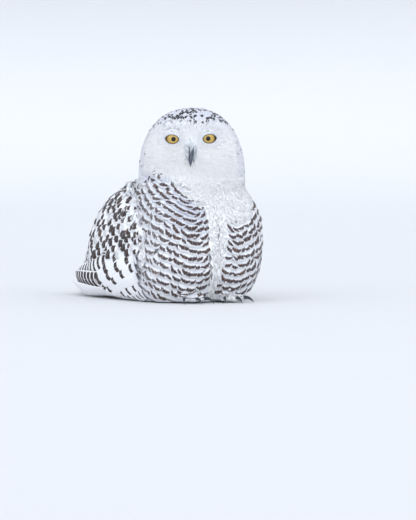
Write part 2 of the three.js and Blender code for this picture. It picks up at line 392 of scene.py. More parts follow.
class Graph:
    """A material's nodes, with short calls for the ones that the finishes share."""

    def __init__(self, name: str) -> None:
        """Starts a material that has only its shader and its output.

        Args:
            name: the material's name.
        """
        self.material = bpy.data.materials.new(name)
        self.material.use_nodes = True
        self.tree = self.material.node_tree
        self.shader = next(n for n in self.tree.nodes if n.type == "BSDF_PRINCIPLED")

    def feed(self, socket: bpy.types.NodeSocket, value: object) -> None:
        """Links a socket to a signal, or sets it to a plain value.

        Args:
            socket: an input of one of the nodes.
            value: the signal, number or colour.
        """
        if isinstance(value, Signal):
            self.tree.links.new(value.socket, socket)
        else:
            socket.default_value = value

    def node(self, kind: str, inputs: dict[str | int, object], **settings: object) -> list[Signal]:
        """Adds a node.

        Args:
            kind: the end of the node type's name.
            inputs: what its sockets are fed, by name or number.
            **settings: properties to set on it first.

        Returns:
            Its outputs.
        """
        made = self.tree.nodes.new("ShaderNode" + kind)
        for key, value in settings.items():
            setattr(made, key, value)
        for key, value in inputs.items():
            self.feed(made.inputs[key], value)
        return [Signal(self, socket) for socket in made.outputs]

    def math(self, operation: str, *values: object) -> Signal:
        """Works out one number from others."""
        return self.node("Math", dict(enumerate(values)), operation=operation)[0]

    def step(self, value: Signal, low: float, high: float) -> Signal:
        """Smooth step of a signal, from 0 at low to 1 at high.

        Args:
            value: the signal.
            low: where the step is 0.
            high: where it is 1, above or below that.

        Returns:
            The step.
        """
        ends = {3: 1.0, 4: 0.0} if low > high else {}
        inputs = {0: value, 1: min(low, high), 2: max(low, high), **ends}
        return self.node("MapRange", inputs, interpolation_type="SMOOTHSTEP")[0]

    def noise(self, vector: Signal, scale: float, detail: float = 2.0) -> Signal:
        """Soft random pattern over a vector, about 0.5 in the middle."""
        return self.node("TexNoise", {"Vector": vector, "Scale": scale, "Detail": detail})[0]

    def mix(self, share: Signal, first: object, second: object) -> Signal:
        """Blend of two colours, by how much of the second shows."""
        return self.node("Mix", {0: share, 6: first, 7: second}, data_type="RGBA")[2]

    def vector(self, x: Signal, y: Signal, z: Signal | float = 0.0) -> Signal:
        """Joins three numbers into a vector."""
        return self.node("CombineXYZ", {0: x, 1: y, 2: z})[0]

    def parts(self, vector: Signal) -> list[Signal]:
        """Splits a vector into its three numbers."""
        return self.node("SeparateXYZ", {0: vector})

    def place(self) -> Signal:
        """Place on the piece in metres."""
        made = self.tree.nodes.new("ShaderNodeTexCoord")
        return Signal(self, made.outputs["Object"])

    def map(self) -> list[Signal]:
        """The two numbers of the feather's own map: across it and up it."""
        return self.parts(self.node("UVMap", {}, uv_map=VANE_MAP)[0])[:2]

    def marks(self) -> list[Signal]:
        """What each feather carries: how dark its marks are, how grey it is, which is partly
        painted shade, and its number.
        """
        return self.node("SeparateColor", {0: self.node("Attribute", {}, attribute_name=MARKS)[0]})

    def bump(self, height: Signal, depth: float, strength: float) -> None:
        """Raises the surface by a pattern, so many metres high where it is 1."""
        inputs = {"Strength": strength, "Distance": depth, "Height": height}
        self.set(Normal=self.node("Bump", inputs)[0])

    def set(self, **values: object) -> None:
        """Feeds the shader's sockets, each named with underscores for spaces."""
        for name, value in values.items():
            self.feed(self.shader.inputs[name.replace("_", " ")], value)


Colour = tuple[float, float, float, float]

WHITE: Colour = (0.88, 0.885, 0.90, 1.0)
SNOW: Colour = (0.97, 0.97, 0.97, 1.0)
# SHADE is the cool grey of painted shade, laid on by the grey mark; a little of it also streaks the
# dark marks.
SHADE: Colour = (0.40, 0.43, 0.56, 1.0)
DOWN: Colour = (0.72, 0.73, 0.77, 1.0)
INK: Colour = (0.034, 0.020, 0.017, 1.0)
SOOT: Colour = (0.018, 0.014, 0.018, 1.0)
RUST: Colour = (0.14, 0.068, 0.036, 1.0)
BROWN: Colour = (0.060, 0.037, 0.033, 1.0)


@dataclass(frozen=True)
class FeatherFinish:
    """Colour and barbs of one kind of feather, drawn on the vane's own map.

    The map runs from 0 to 1 across the vane and from 0 at the root to 1 at the tip. Marks repeat
    every `pitch` up the vane, the last of them centred at `first`.
    """

    name: str
    first: float = 0.86
    pitch: float = 0.40
    thick: float = 0.060
    arc: float = 0.13
    reach: float = 0.95
    wedge: float = 0.0
    taper: float = 0.0
    shift: float = 0.0
    ragged: float = 0.045
    soft: float = 0.022
    barbs: float = 34.0
    shaft: float = 0.035
    downy: float = 0.42
    white: Colour = WHITE
    ink: Colour = INK

    def build(self) -> bpy.types.Material:
        """Makes the material.

        Returns:
            The material.
        """
        g = Graph(self.name)
        u, v = g.map()
        ink, grey, seed = g.marks()
        side = g.math("ABSOLUTE", u * 2.0 - 1.0)
        own = seed * 97.0
        streak = g.noise(g.vector(u * 22.0, v * 2.2, own), 1.0, 3.0)
        wander = g.noise(g.vector(u * 2.6, v, own), 1.0, 1.0)
        drift = wander * 0.10 - 0.05 + (streak * (self.ragged * 2) - self.ragged)
        level = v + side * side * self.arc + drift + (seed - 0.5) * self.shift
        away = g.math("PINGPONG", level - self.first, self.pitch / 2) + side * side * self.taper
        bar = g.step(away, self.thick + self.soft, self.thick - self.soft)
        reach = (v - self.first) * self.wedge + self.reach
        inside = g.step(streak * 0.24 + side - reach, 0.16, 0.06)
        tip = g.step(level, self.first + self.pitch * 0.55, self.first + self.pitch * 0.45)
        # Painted shade: the grey mark turns the white towards SHADE, in streaks.
        base = g.mix(grey * (streak * 0.9 + 0.25), self.white, SHADE)
        base = g.mix(g.step(v, self.downy, self.downy * 0.25 - 0.01), base, DOWN)
        warm = g.step(g.noise(g.vector(own, wander), 3.0, 1.0), 0.57, 0.80)
        dark = g.mix(streak * 0.03, g.mix(warm, self.ink, RUST), SHADE)
        shaft = g.step(side, self.shaft * 1.6, self.shaft * 0.4)
        painted = g.mix(bar * inside * (ink * tip) * 0.99, base, dark)
        rib = g.math("SINE", (v - side * 0.35) * (WAVE * self.barbs))
        g.bump(rib * 0.25 + (streak + shaft), 0.25 * MM, 0.6)
        g.set(Base_Color=g.mix(shaft * 0.25, painted, DOWN), Roughness=0.78)
        g.set(Specular_IOR_Level=0.12, Sheen_Weight=0.05, Sheen_Roughness=0.6)
        return g.material


DOWNY = FeatherFinish("white_down", ragged=0.02, barbs=8.0, downy=0.01, white=SNOW)


@dataclass(frozen=True)
class SkinFinish:
    """Skin under the plumage: pale down with the same faint bands and the same painted shade as the
    coat over it.
    """

    name: str = "skin_down"
    bands: float = 40.0

    def build(self) -> bpy.types.Material:
        """Makes the material.

        Returns:
            The material.
        """
        g = Graph(self.name)
        ink, grey, row = g.marks()
        place = g.place()
        pores = g.node("TexVoronoi", {"Vector": place, "Scale": 420.0})[0]
        wave = g.math("SINE", g.noise(place, 60.0) * 4.0 + row * (WAVE * self.bands))
        band = g.step(wave, 0.35, 0.8) * (ink * 0.7)
        g.bump(g.noise(place, 900.0, 3.0) + pores, 0.6 * MM, 0.7)
        # Painted shade: the grey mark greys the skin as it does the coat, over a constant light
        # grey.
        g.set(Base_Color=g.mix(band, g.mix(grey * 0.6 + 0.1, WHITE, SHADE), INK))
        g.set(Roughness=0.9, Specular_IOR_Level=0.15)
        return g.material


@dataclass(frozen=True)
class HornFinish:
    """Black horn of bill and claws, greyer and duller in worn patches."""

    name: str
    black: Colour = (0.012, 0.014, 0.019, 1.0)
    worn: Colour = (0.045, 0.052, 0.066, 1.0)

    def build(self) -> bpy.types.Material:
        """Makes the material.

        Returns:
            The material.
        """
        g = Graph(self.name)
        place = g.place()
        x, y, z = g.parts(place)
        grain = g.noise(g.vector(x * 3.0, y * 3.0, z), 260.0, 4.0)
        tone = grain * 0.5 + g.noise(place, 70.0) * 0.5
        g.bump(grain, 0.35 * MM, 0.5)
        g.set(Base_Color=g.mix(tone, self.black, self.worn), Specular_IOR_Level=0.5)
        g.set(Roughness=grain * 0.25 + 0.2, Coat_Weight=0.3, Coat_Roughness=0.25)
        return g.material


@dataclass(frozen=True)
class IrisFinish:
    """Eyeball drawn in rings about its axis: pupil, golden iris and dark rim."""

    name: str = "iris"
    pupil: float = 3.6
    iris: float = 11.4
    gold: Colour = (0.48, 0.32, 0.070, 1.0)
    amber: Colour = (0.26, 0.15, 0.025, 1.0)
    straw: Colour = (0.58, 0.42, 0.16, 1.0)
    black: Colour = (0.002, 0.002, 0.005, 1.0)

    def build(self) -> bpy.types.Material:
        """Makes the material.

        Returns:
            The material.
        """
        g = Graph(self.name)
        x, y = (part - 0.5 for part in g.map())
        far = g.math("SQRT", x * x + y * y) * 40.0
        fibre = g.noise(g.vector(g.math("ARCTAN2", y, x) * 9.0, far * 0.35), 1.0, 4.0)
        cloud = g.noise(g.vector(x, y), 24.0)
        gold = g.mix(g.step(fibre, 0.4, 0.75), self.gold, self.straw)
        gold = g.mix(g.step(cloud, 0.55, 0.8), gold, self.straw)
        near_rim = g.step(far, self.iris - 3.6, self.iris)
        near_pupil = g.step(far, self.pupil + 0.8, self.pupil + 0.2)
        gold = g.mix(g.math("MAXIMUM", near_rim, near_pupil), gold, self.amber)
        painted = g.mix(g.step(far, self.pupil + 0.25, self.pupil - 0.1), gold, self.black)
        painted = g.mix(g.step(far, self.iris - 0.25, self.iris + 0.35), painted, self.black)
        g.bump(fibre, 0.15 * MM, 0.25)
        g.set(Base_Color=painted, Roughness=0.4, Specular_IOR_Level=0.2)
        g.set(Coat_Weight=0.45, Coat_Roughness=0.02, Coat_IOR=1.38)
        return g.material


@dataclass(frozen=True)
class LidFinish:
    """Bare dark skin of the eyelids, finely wrinkled, and beyond it pale down greyed with painted
    shade to match the shade among the face's tufts.
    """

    name: str = "lid_skin"
    skin: Colour = (0.012, 0.012, 0.016, 1.0)
    worn: Colour = (0.035, 0.034, 0.040, 1.0)

    def build(self) -> bpy.types.Material:
        """Makes the material.

        Returns:
            The material.
        """
        g = Graph(self.name)
        place = g.place()
        fold = g.noise(place, 180.0)
        g.bump(g.noise(place, 700.0, 4.0) + fold, 0.4 * MM, 0.7)
        bare = g.mix(g.step(fold, 0.45, 0.8), self.skin, self.worn)
        # Painted shade: beyond the bare rim the lids take the grey DOWN colour, as dark as the
        # shaded tufts round them.
        g.set(Base_Color=g.mix(g.step(g.marks()[0], 0.3, 0.6), DOWN, bare), Roughness=0.5)
        return g.material


@dataclass(frozen=True)
class BristleFinish:
    """Stiff hair-like feathers round the bill: white, with grey shafts. The white is toned down as
    painted shade, since the bristles face up into the light.
    """

    name: str = "bristle"
    # Painted shade: the white is greyed because the bristles face up and catch the light.
    white: Colour = (0.77, 0.80, 0.84, 1.0)
    grey: Colour = (0.09, 0.11, 0.15, 1.0)

    def build(self) -> bpy.types.Material:
        """Makes the material.

        Returns:
            The material.
        """
        g = Graph(self.name)
        dark = g.step(g.map()[1], 0.15, 0.6) * g.marks()[0]
        colour = g.mix(dark, self.white, self.grey)
        g.set(Base_Color=colour, Roughness=0.6, Specular_IOR_Level=0.3)
        return g.material


@dataclass(frozen=True)
class StageFinish:
    """Plain pale paper of the floor and its backdrop, with painted shade that darkens it half way
    up.
    """

    name: str = "pale_floor"
    dim: float = 0.42
    dull: Colour = (0.73, 0.735, 0.745, 1.0)
    bright: Colour = (0.745, 0.75, 0.76, 1.0)

    def build(self) -> bpy.types.Material:
        """Makes the material.

        Returns:
            The material.
        """
        g = Graph(self.name)
        place = g.place()
        high = g.parts(place)[2]
        # Painted shade: darkens the backdrop half way up.
        dim = g.step(high, 0.1, 1.2) * g.step(high, 2.6, 1.4) * self.dim
        paper = g.mix(g.noise(place, 3.0), self.dull, self.bright)
        g.set(Base_Color=g.mix(dim, paper, (0.0, 0.0, 0.0, 1.0)))
        g.set(Roughness=0.95, Specular_IOR_Level=0.05)
        return g.material


# ---------------------------------------------------------------- surfaces


class Surface:
    """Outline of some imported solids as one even, closed mesh that feathers are laid on."""

    def __init__(self, nodes: list[str], voxel: float = 0.0, passes: int = 0) -> None:
        """Joins the solids, each swollen a little so that their gaps close, and evens them.

        Args:
            nodes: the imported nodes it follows.
            voxel: the size of its faces, or 0 to keep the solids' own.
            passes: how many times it is smoothed.
        """
        whole = bmesh.new()
        for node in nodes:
            form = copied(node)
            form.normal_update()
            for vert in form.verts:
                vert.co += vert.normal * SWELL
            part = meshed(form, node + "_copy")
            whole.from_mesh(part)
            bpy.data.meshes.remove(part)
        self.mesh = meshed(whole, "outline")
        if voxel:
            self.even(voxel, passes)
        self.points = read(self.mesh.vertices, "co", 3, np.float32).astype(float)
        self.mesh.calc_loop_triangles()
        self.triangles = read(self.mesh.loop_triangles, "vertices", 3, np.int32)
        normals = read(self.mesh.vertex_normals, "vector", 3, np.float32)
        self.normals = unit(normals.astype(float))
        self.tree = BVHTree.FromPolygons(self.points.tolist(), self.triangles.tolist())

    def even(self, voxel: float, passes: int) -> None:
        """Gives the mesh even faces and keeps its largest closed wall.

        Args:
            voxel: the size of the new faces.
            passes: how many times the result is smoothed.
        """
        work = link("work", self.mesh)
        remesh = work.modifiers.new("even", "REMESH")
        remesh.mode, remesh.voxel_size = "VOXEL", voxel
        soft = work.modifiers.new("soft", "SMOOTH")
        soft.factor, soft.iterations = 0.5, passes
        graph = bpy.context.evaluated_depsgraph_get()
        made = bpy.data.meshes.new_from_object(work.evaluated_get(graph))
        bpy.data.objects.remove(work)
        form = bmesh.new()
        form.from_mesh(made)
        bpy.data.meshes.remove(made)
        bmesh.ops.delete(form, geom=stray_faces(form), context="FACES")
        self.mesh = meshed(form, "outline")

    def nearest(self, places: Array) -> tuple[Array, Array]:
        """Finds the closest points of the surface.

        Args:
            places: any places, one to a row.

        Returns:
            The points and the surface's smooth normals there.
        """
        found = np.empty_like(places)
        corner = np.empty(len(places), np.int32)
        for i, place in enumerate(places):
            found[i], _, corner[i], _ = self.tree.find_nearest(place)
        return found, self.normals_at(found, corner)

    def normals_at(self, places: Array, triangle: Array) -> Array:
        """Blends the corner normals of the triangles that places lie in.

        Args:
            places: points of the surface.
            triangle: the index of each one's triangle.

        Returns:
            Unit normals.
        """
        corners = self.triangles[triangle]
        away = np.linalg.norm(self.points[corners] - places[:, None], axis=-1)
        weight = 1.0 / np.maximum(away, WELD)
        return unit((self.normals[corners] * weight[..., None]).sum(1))

    def sprinkled(self, spacing: float, seed: int) -> tuple[Array, Array]:
        """Spreads places at random all over the surface.

        Args:
            spacing: the side of the square that each place has to itself.
            seed: picks the places.

        Returns:
            Points and normals.
        """
        chance = np.random.default_rng(seed)
        a, b, c = (self.points[self.triangles[:, k]] for k in range(3))
        area = np.linalg.norm(np.cross(b - a, c - a), axis=1) / 2
        count = int(area.sum() / spacing**2)
        chosen = chance.choice(len(area), count, p=area / area.sum())
        share = np.sort(chance.uniform(0, 1, (count, 2)), axis=1)
        weight = np.stack([share[:, 0], share[:, 1] - share[:, 0], 1 - share[:, 1]], 1)[..., None]
        corners = self.triangles[chosen]
        points = (self.points[corners] * weight).sum(1)
        return points, unit((self.normals[corners] * weight).sum(1))

    def depth(self, places: Array) -> Array:
        """How far places lie under the surface, negative outside it."""
        found, normals = self.nearest(places)
        return ((found - places) * normals).sum(-1)

    def cast(self, origins: Array, directions: Array) -> tuple[Array, Array, Array]:
        """Sends a ray from each origin.

        Args:
            origins: where the rays start.
            directions: unit directions.

        Returns:
            The first points hit, the normals there, and whether each ray hit at all.
        """
        found = np.array(origins, float)
        index = np.zeros(len(found), np.int32)
        struck = np.zeros(len(found), bool)
        for i, (start, way) in enumerate(zip(origins, directions)):
            hit, _, where, _ = self.tree.ray_cast(start, way)
            if hit is not None:
                found[i], index[i], struck[i] = hit, where, True
        return found, self.normals_at(found, index), struck

    def contours(self, values: Array, level: float) -> list[tuple[Array, Array]]:
        """Follows the lines of one value over the surface.

        Args:
            values: a number for each vertex.
            level: the value of the lines.

        Returns:
            For each line, its points in order and the normals at them.
        """
        under = values < level
        count = under[self.triangles].sum(1)
        crossed = self.triangles[(count == 1) | (count == 2)]
        meets: dict[Edge, list[Edge]] = {}
        for a, b, c in crossed.tolist():
            cut = [tuple(sorted(e)) for e in ((a, b), (b, c), (c, a)) if under[e[0]] != under[e[1]]]
            meets.setdefault(cut[0], []).append(cut[1])
            meets.setdefault(cut[1], []).append(cut[0])
        lines = []
        while meets:
            chain = chained(meets)
            if len(chain) > 3:
                lines.append(self.cut_points(np.array(chain), values, level))
        return lines

    def cut_points(self, edges: Array, values: Array, level: float) -> tuple[Array, Array]:
        """Places where edges cross a level, with the normals there.

        Args:
            edges: pairs of vertex numbers.
            values: one for each vertex of the surface.
            level: the value that they cross.

        Returns:
            One place and one unit normal for each edge.
        """
        first, second = edges[:, 0], edges[:, 1]
        share = ((level - values[first]) / (values[second] - values[first]))[:, None]
        tables = (self.points, self.normals)
        points, normals = (one[first] * (1 - share) + one[second] * share for one in tables)
        return points, unit(normals)

    def trace(
        self, starts: Array, ways: Array, lengths: Array, stations: int
    ) -> tuple[Array, Array]:
        """Runs a spine over the surface from each start.

        Args:
            starts: points on the surface.
            ways: unit directions to run in.
            lengths: how long each spine is.
            stations: how many points it has.

        Returns:
            The spines' points and the surface's normals at them, each (starts, stations, 3).
        """
        place, normal = self.nearest(starts)
        way = across(ways, normal)
        spines, ups = [place], [normal]
        stride = (lengths / (stations - 1))[:, None]
        for _ in range(stations - 1):
            place, normal = self.nearest(place + way * stride)
            way = across(way, normal)
            spines.append(place)
            ups.append(normal)
        return np.stack(spines, 1), np.stack(ups, 1)


def chained(meets: dict[Edge, list[Edge]]) -> list[Edge]:
    """Takes one line out of a table of cut edges that meet.

    Args:
        meets: for each cut edge, the cut edges beside it. What is used is taken out.

    Returns:
        The line's cut edges, in order.
    """
    start = next((edge for edge, beside in meets.items() if len(beside) == 1), next(iter(meets)))
    chain = [start]
    while following := next((edge for edge in meets.pop(chain[-1]) if edge in meets), None):
        chain.append(following)
    return chain


def stray_faces(form: Form) -> list[bmesh.types.BMFace]:
    """Finds the faces of a form that don't belong to its largest closed wall.

    Args:
        form: the form, left as it is.

    Returns:
        The faces of all its smaller walls.
    """
    walls = []
    left = set(form.faces)
    while left:
        wall = [left.pop()]
        for face in wall:
            beside = {other for edge in face.edges for other in edge.link_faces} & left
            left -= beside
            wall += beside
        walls.append(wall)
    walls.sort(key=len)
    return [face for wall in walls[:-1] for face in wall]


# ---------------------------------------------------------------- vanes


@dataclass(frozen=True)
class Vane:
    """A feather's mesh in its own frame: across, along and up, with its map."""

    shape: Array
    uv: Array
    faces: list[list[int]]
    camber: float = 0.0
    bars: float = 1.0
    thick_by_width: bool = False

    @property
    def triangles(self) -> int:
        """How many triangles one feather has."""
        return sum(len(face) - 2 for face in self.faces)


def arrays_of(form: Form) -> tuple[Array, list[list[int]]]:
    """Takes a form's vertices and faces, and frees it.

    Args:
        form: the form, which is not used again.

    Returns:
        Where the vertices are, and the numbers of each face's vertices.
    """
    bmesh.ops.recalc_face_normals(form, faces=form.faces[:])
    places = np.array([vert.co for vert in form.verts])
    faces = [[vert.index for vert in face.verts] for face in form.faces]
    form.free()
    return places, faces


@dataclass(frozen=True)
class VaneShape:
    """Outline of one feather, in shares of its length and width."""

    across: int = 8
    along: int = 4
    thick: float = 0.35 * MM
    root: float = 0.6
    widest: float = 0.55
    rounding: float = 0.30
    fringe: float = 0.07
    camber: float = 0.10
    bars: float = 1.0

    def build(self, seed: int) -> Vane:
        """Makes the feather from a flat grid with a thickness.

        Args:
            seed: picks how its tip is split.

        Returns:
            The vane as arrays.
        """
        chance = np.random.default_rng(seed)
        form = bmesh.new()
        bmesh.ops.create_grid(form, x_segments=self.across, y_segments=self.along, size=0.5)
        bmesh.ops.solidify(form, geom=form.faces[:], thickness=self.thick)
        flat, faces = arrays_of(form)
        u, v = flat[:, 0] + 0.5, flat[:, 1] + 0.5
        split = self.fringe * chance.uniform(0.2, 1.6, self.across + 1)
        split[1::2] *= 0.25
        side = np.abs(2 * u - 1)
        column = np.rint(u * self.across).astype(int)
        length = (1 - self.rounding * side**2.4) * (1 - split[column])
        wide = self.root + (1 - self.root) * rise(v, 0.0, self.widest)
        lift = (flat[:, 2] - flat[:, 2].mean()) * (1.15 - 0.7 * side)
        shape = np.stack([(u - 0.5) * wide, v * length, lift], 1)
        return Vane(shape, np.stack([u, v], 1), faces, self.camber, self.bars)


@dataclass(frozen=True)
class TuftShape:
    """A small pointed feather or bristle: a slender closed leaf."""

    around: int = 4
    rings: int = 3
    thick: float = 0.16
    point: float = 0.62

    def build(self, seed: int) -> Vane:
        """Makes the leaf from a sphere drawn out to a point.

        Args:
            seed: picks how it bends to one side.

        Returns:
            The leaf as arrays.
        """
        bend = np.random.default_rng(seed).uniform(-0.25, 0.25)
        form = bmesh.new()
        bmesh.ops.create_uvsphere(form, u_segments=self.around, v_segments=self.rings, radius=0.5)
        for angle, axis in ((-math.pi / 2, "X"), (math.pi / self.around, "Y")):
            bmesh.ops.rotate(form, verts=form.verts, matrix=Matrix.Rotation(angle, 3, axis))
        ball, faces = arrays_of(form)
        v = ball[:, 1] + 0.5
        narrow = 1.0 - self.point * v
        x = ball[:, 0] * 1.5 * narrow
        shape = np.stack([x + bend * v * v, v, ball[:, 2] * self.thick * narrow], 1)
        return Vane(shape, np.stack([x + 0.5, v], 1), faces, thick_by_width=True)


LONG_VANE = VaneShape(rounding=0.05, fringe=0.006, root=0.8, thick=0.6 * MM)


@dataclass(frozen=True)
class Lay:
    """Many feathers at once: each array's first axis runs over the feathers."""

    spine: Array
    up: Array
    width: Array
    ink: Array
    grey: Array
    seed: Array
    patch: Array
    roll: Array
    patch_size: tuple[float, float] = (0.003, 0.003)

    def only(self, keep: slice) -> "Lay":
        """A part of the feathers."""
        names = ("spine", "up", "width", "ink", "grey", "seed", "patch", "roll")
        return replace(self, **{name: getattr(self, name)[keep] for name in names})

    def lifted(self, depth: Array, proud: Array, ease: float) -> "Lay":
        """Sinks the roots and raises the tips.

        Args:
            depth: how far each root lies under the outline.
            proud: how far each tip stands over it.
            ease: above 1, the feather rises early and lies flat after that.

        Returns:
            The feathers, moved along the normals.
        """
        share = np.linspace(0, 1, self.spine.shape[1])
        off = -np.outer(depth, (1 - share) ** ease) + np.outer(proud, share)
        return replace(self, spine=self.spine + self.up * off[..., None])

    def laid(self, vane: Vane) -> Array:
        """Places one vane on every spine.

        Args:
            vane: the feather's mesh.

        Returns:
            Vertices, (feathers, vertices, 3).
        """
        last = self.spine.shape[1] - 1
        along = np.clip(vane.shape[:, 1], 0, 1) * last
        station = np.minimum(along.astype(int), last - 1)
        share = (along - station)[None, :, None]
        place, up, way = (
            table[:, station] * (1 - share) + table[:, station + 1] * share
            for table in (self.spine, self.up, np.gradient(self.spine, axis=1))
        )
        side = unit(np.cross(way, unit(up)))
        over = np.cross(side, unit(way))
        cos, sin = np.cos(self.roll)[:, None, None], np.sin(self.roll)[:, None, None]
        side, over = side * cos + over * sin, over * cos - side * sin
        wide = self.width[:, None]
        flat = wide * vane.shape[None, :, 0]
        thick = vane.shape[None, :, 2] * (wide if vane.thick_by_width else 1.0)
        droop = wide * vane.camber * (2 * vane.shape[None, :, 0]) ** 2
        return place + side * flat[..., None] + over * (thick - droop)[..., None]


def side_by_side(
    lines: list[Array], ups: Array, width: float, ink: Array, seeds: Array, roll: Array
) -> Lay:
    """Lays long feathers that each have their own strip of the unwrap.

    Args:
        lines: their spines.
        ups: the normals along them.
        width: how wide each one is.
        ink: how dark its marks are.
        seeds: its own number.
        roll: its turn about its spine.

    Returns:
        The feathers.
    """
    many = len(lines)
    strips = np.stack([(np.arange(many) + 0.5) / many, np.full(many, 0.5)], 1)
    wide, grey = np.full(many, width), np.full(many, 0.05)
    return Lay(np.array(lines), ups, wide, ink, grey, seeds, strips, roll, (0.9 / many, 0.96))


@dataclass(frozen=True)
class Coat:
    """Feathers of one kind, as pieces of the model."""

    name: str
    slot: Slot
    finish: FeatherFinish | BristleFinish
    shape: VaneShape | TuftShape
    seed: int
    kinds: int = 4

    def build(self, lay: Lay, *nodes: str) -> None:
        """Makes as many pieces as keep each one under the most triangles.

        Args:
            lay: the feathers.
            *nodes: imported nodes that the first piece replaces.
        """
        vanes = [self.shape.build(self.seed + i) for i in range(self.kinds)]
        material = self.finish.build()
        weight = max(vane.triangles for vane in vanes)
        count = math.ceil(len(lay.width) * weight / MOST_TRIANGLES)
        for i in range(count):
            name = self.name if count == 1 else f"{self.name}_{i + 1}"
            mesh = joined(name, lay.only(slice(i, None, count)), vanes)
            settle(link(name, mesh, material), self.slot, *(nodes if i == 0 else ()))


def pressed(high: Array) -> Array:
    """Heights of feathers pressed against the floor, none of them through it."""
    low = PRESSED * np.exp(np.minimum(high / PRESSED, 1.0) - 1.0)
    return np.where(high < PRESSED, low, high)


def joined(name: str, lay: Lay, vanes: list[Vane]) -> bpy.types.Mesh:
    """Joins feathers into one mesh with its maps and marks.

    Args:
        name: the mesh's name.
        lay: the feathers.
        vanes: their meshes, taken in turn.

    Returns:
        The mesh.
    """
    points, faces, maps, patches, marks = [], [], [], [], []
    first = 0
    for i, vane in enumerate(vanes):
        part = lay.only(slice(i, None, len(vanes)))
        many, size = len(part.width), len(vane.shape)
        points.append(part.laid(vane).reshape(-1, 3))
        starts = first + size * np.arange(many)
        faces += [np.array(face)[None, :] + starts[:, None] for face in vane.faces]
        maps.append(np.tile(vane.uv * (1.0, vane.bars), (many, 1)))
        spot = part.patch[:, None, :] + (vane.uv[None] - 0.5) * np.array(part.patch_size)
        patches.append(spot.reshape(-1, 2))
        marks.append(np.repeat(np.stack([part.ink, part.grey, part.seed], 1), size, axis=0))
        first += many * size
    places = np.concatenate(points)
    places[:, 2] = pressed(places[:, 2])
    corner = np.concatenate([table.ravel() for table in faces]).astype(np.int32)
    count = np.concatenate([np.full(len(table), table.shape[1]) for table in faces])
    ends = np.cumsum(count)
    mesh = bpy.data.meshes.new(name)
    mesh.vertices.add(len(places))
    mesh.vertices.foreach_set("co", places.astype(np.float32).ravel())
    mesh.loops.add(len(corner))
    mesh.loops.foreach_set("vertex_index", corner)
    mesh.polygons.add(len(count))
    mesh.polygons.foreach_set("loop_start", (ends - count).astype(np.int32))
    mesh.update(calc_edges=True)
    mesh.validate()
    shade_smooth(mesh)
    corner = read(mesh.loops, "vertex_index", 1, np.int32).ravel()
    for title, table in ((VANE_MAP, maps), (BAKE_MAP, patches)):
        layer = mesh.uv_layers.new(name=title)
        layer.uv.foreach_set("vector", np.concatenate(table)[corner].astype(np.float32).ravel())
    write_marks(mesh, *np.concatenate(marks).T)
    return mesh


# ---------------------------------------------------------------- markings


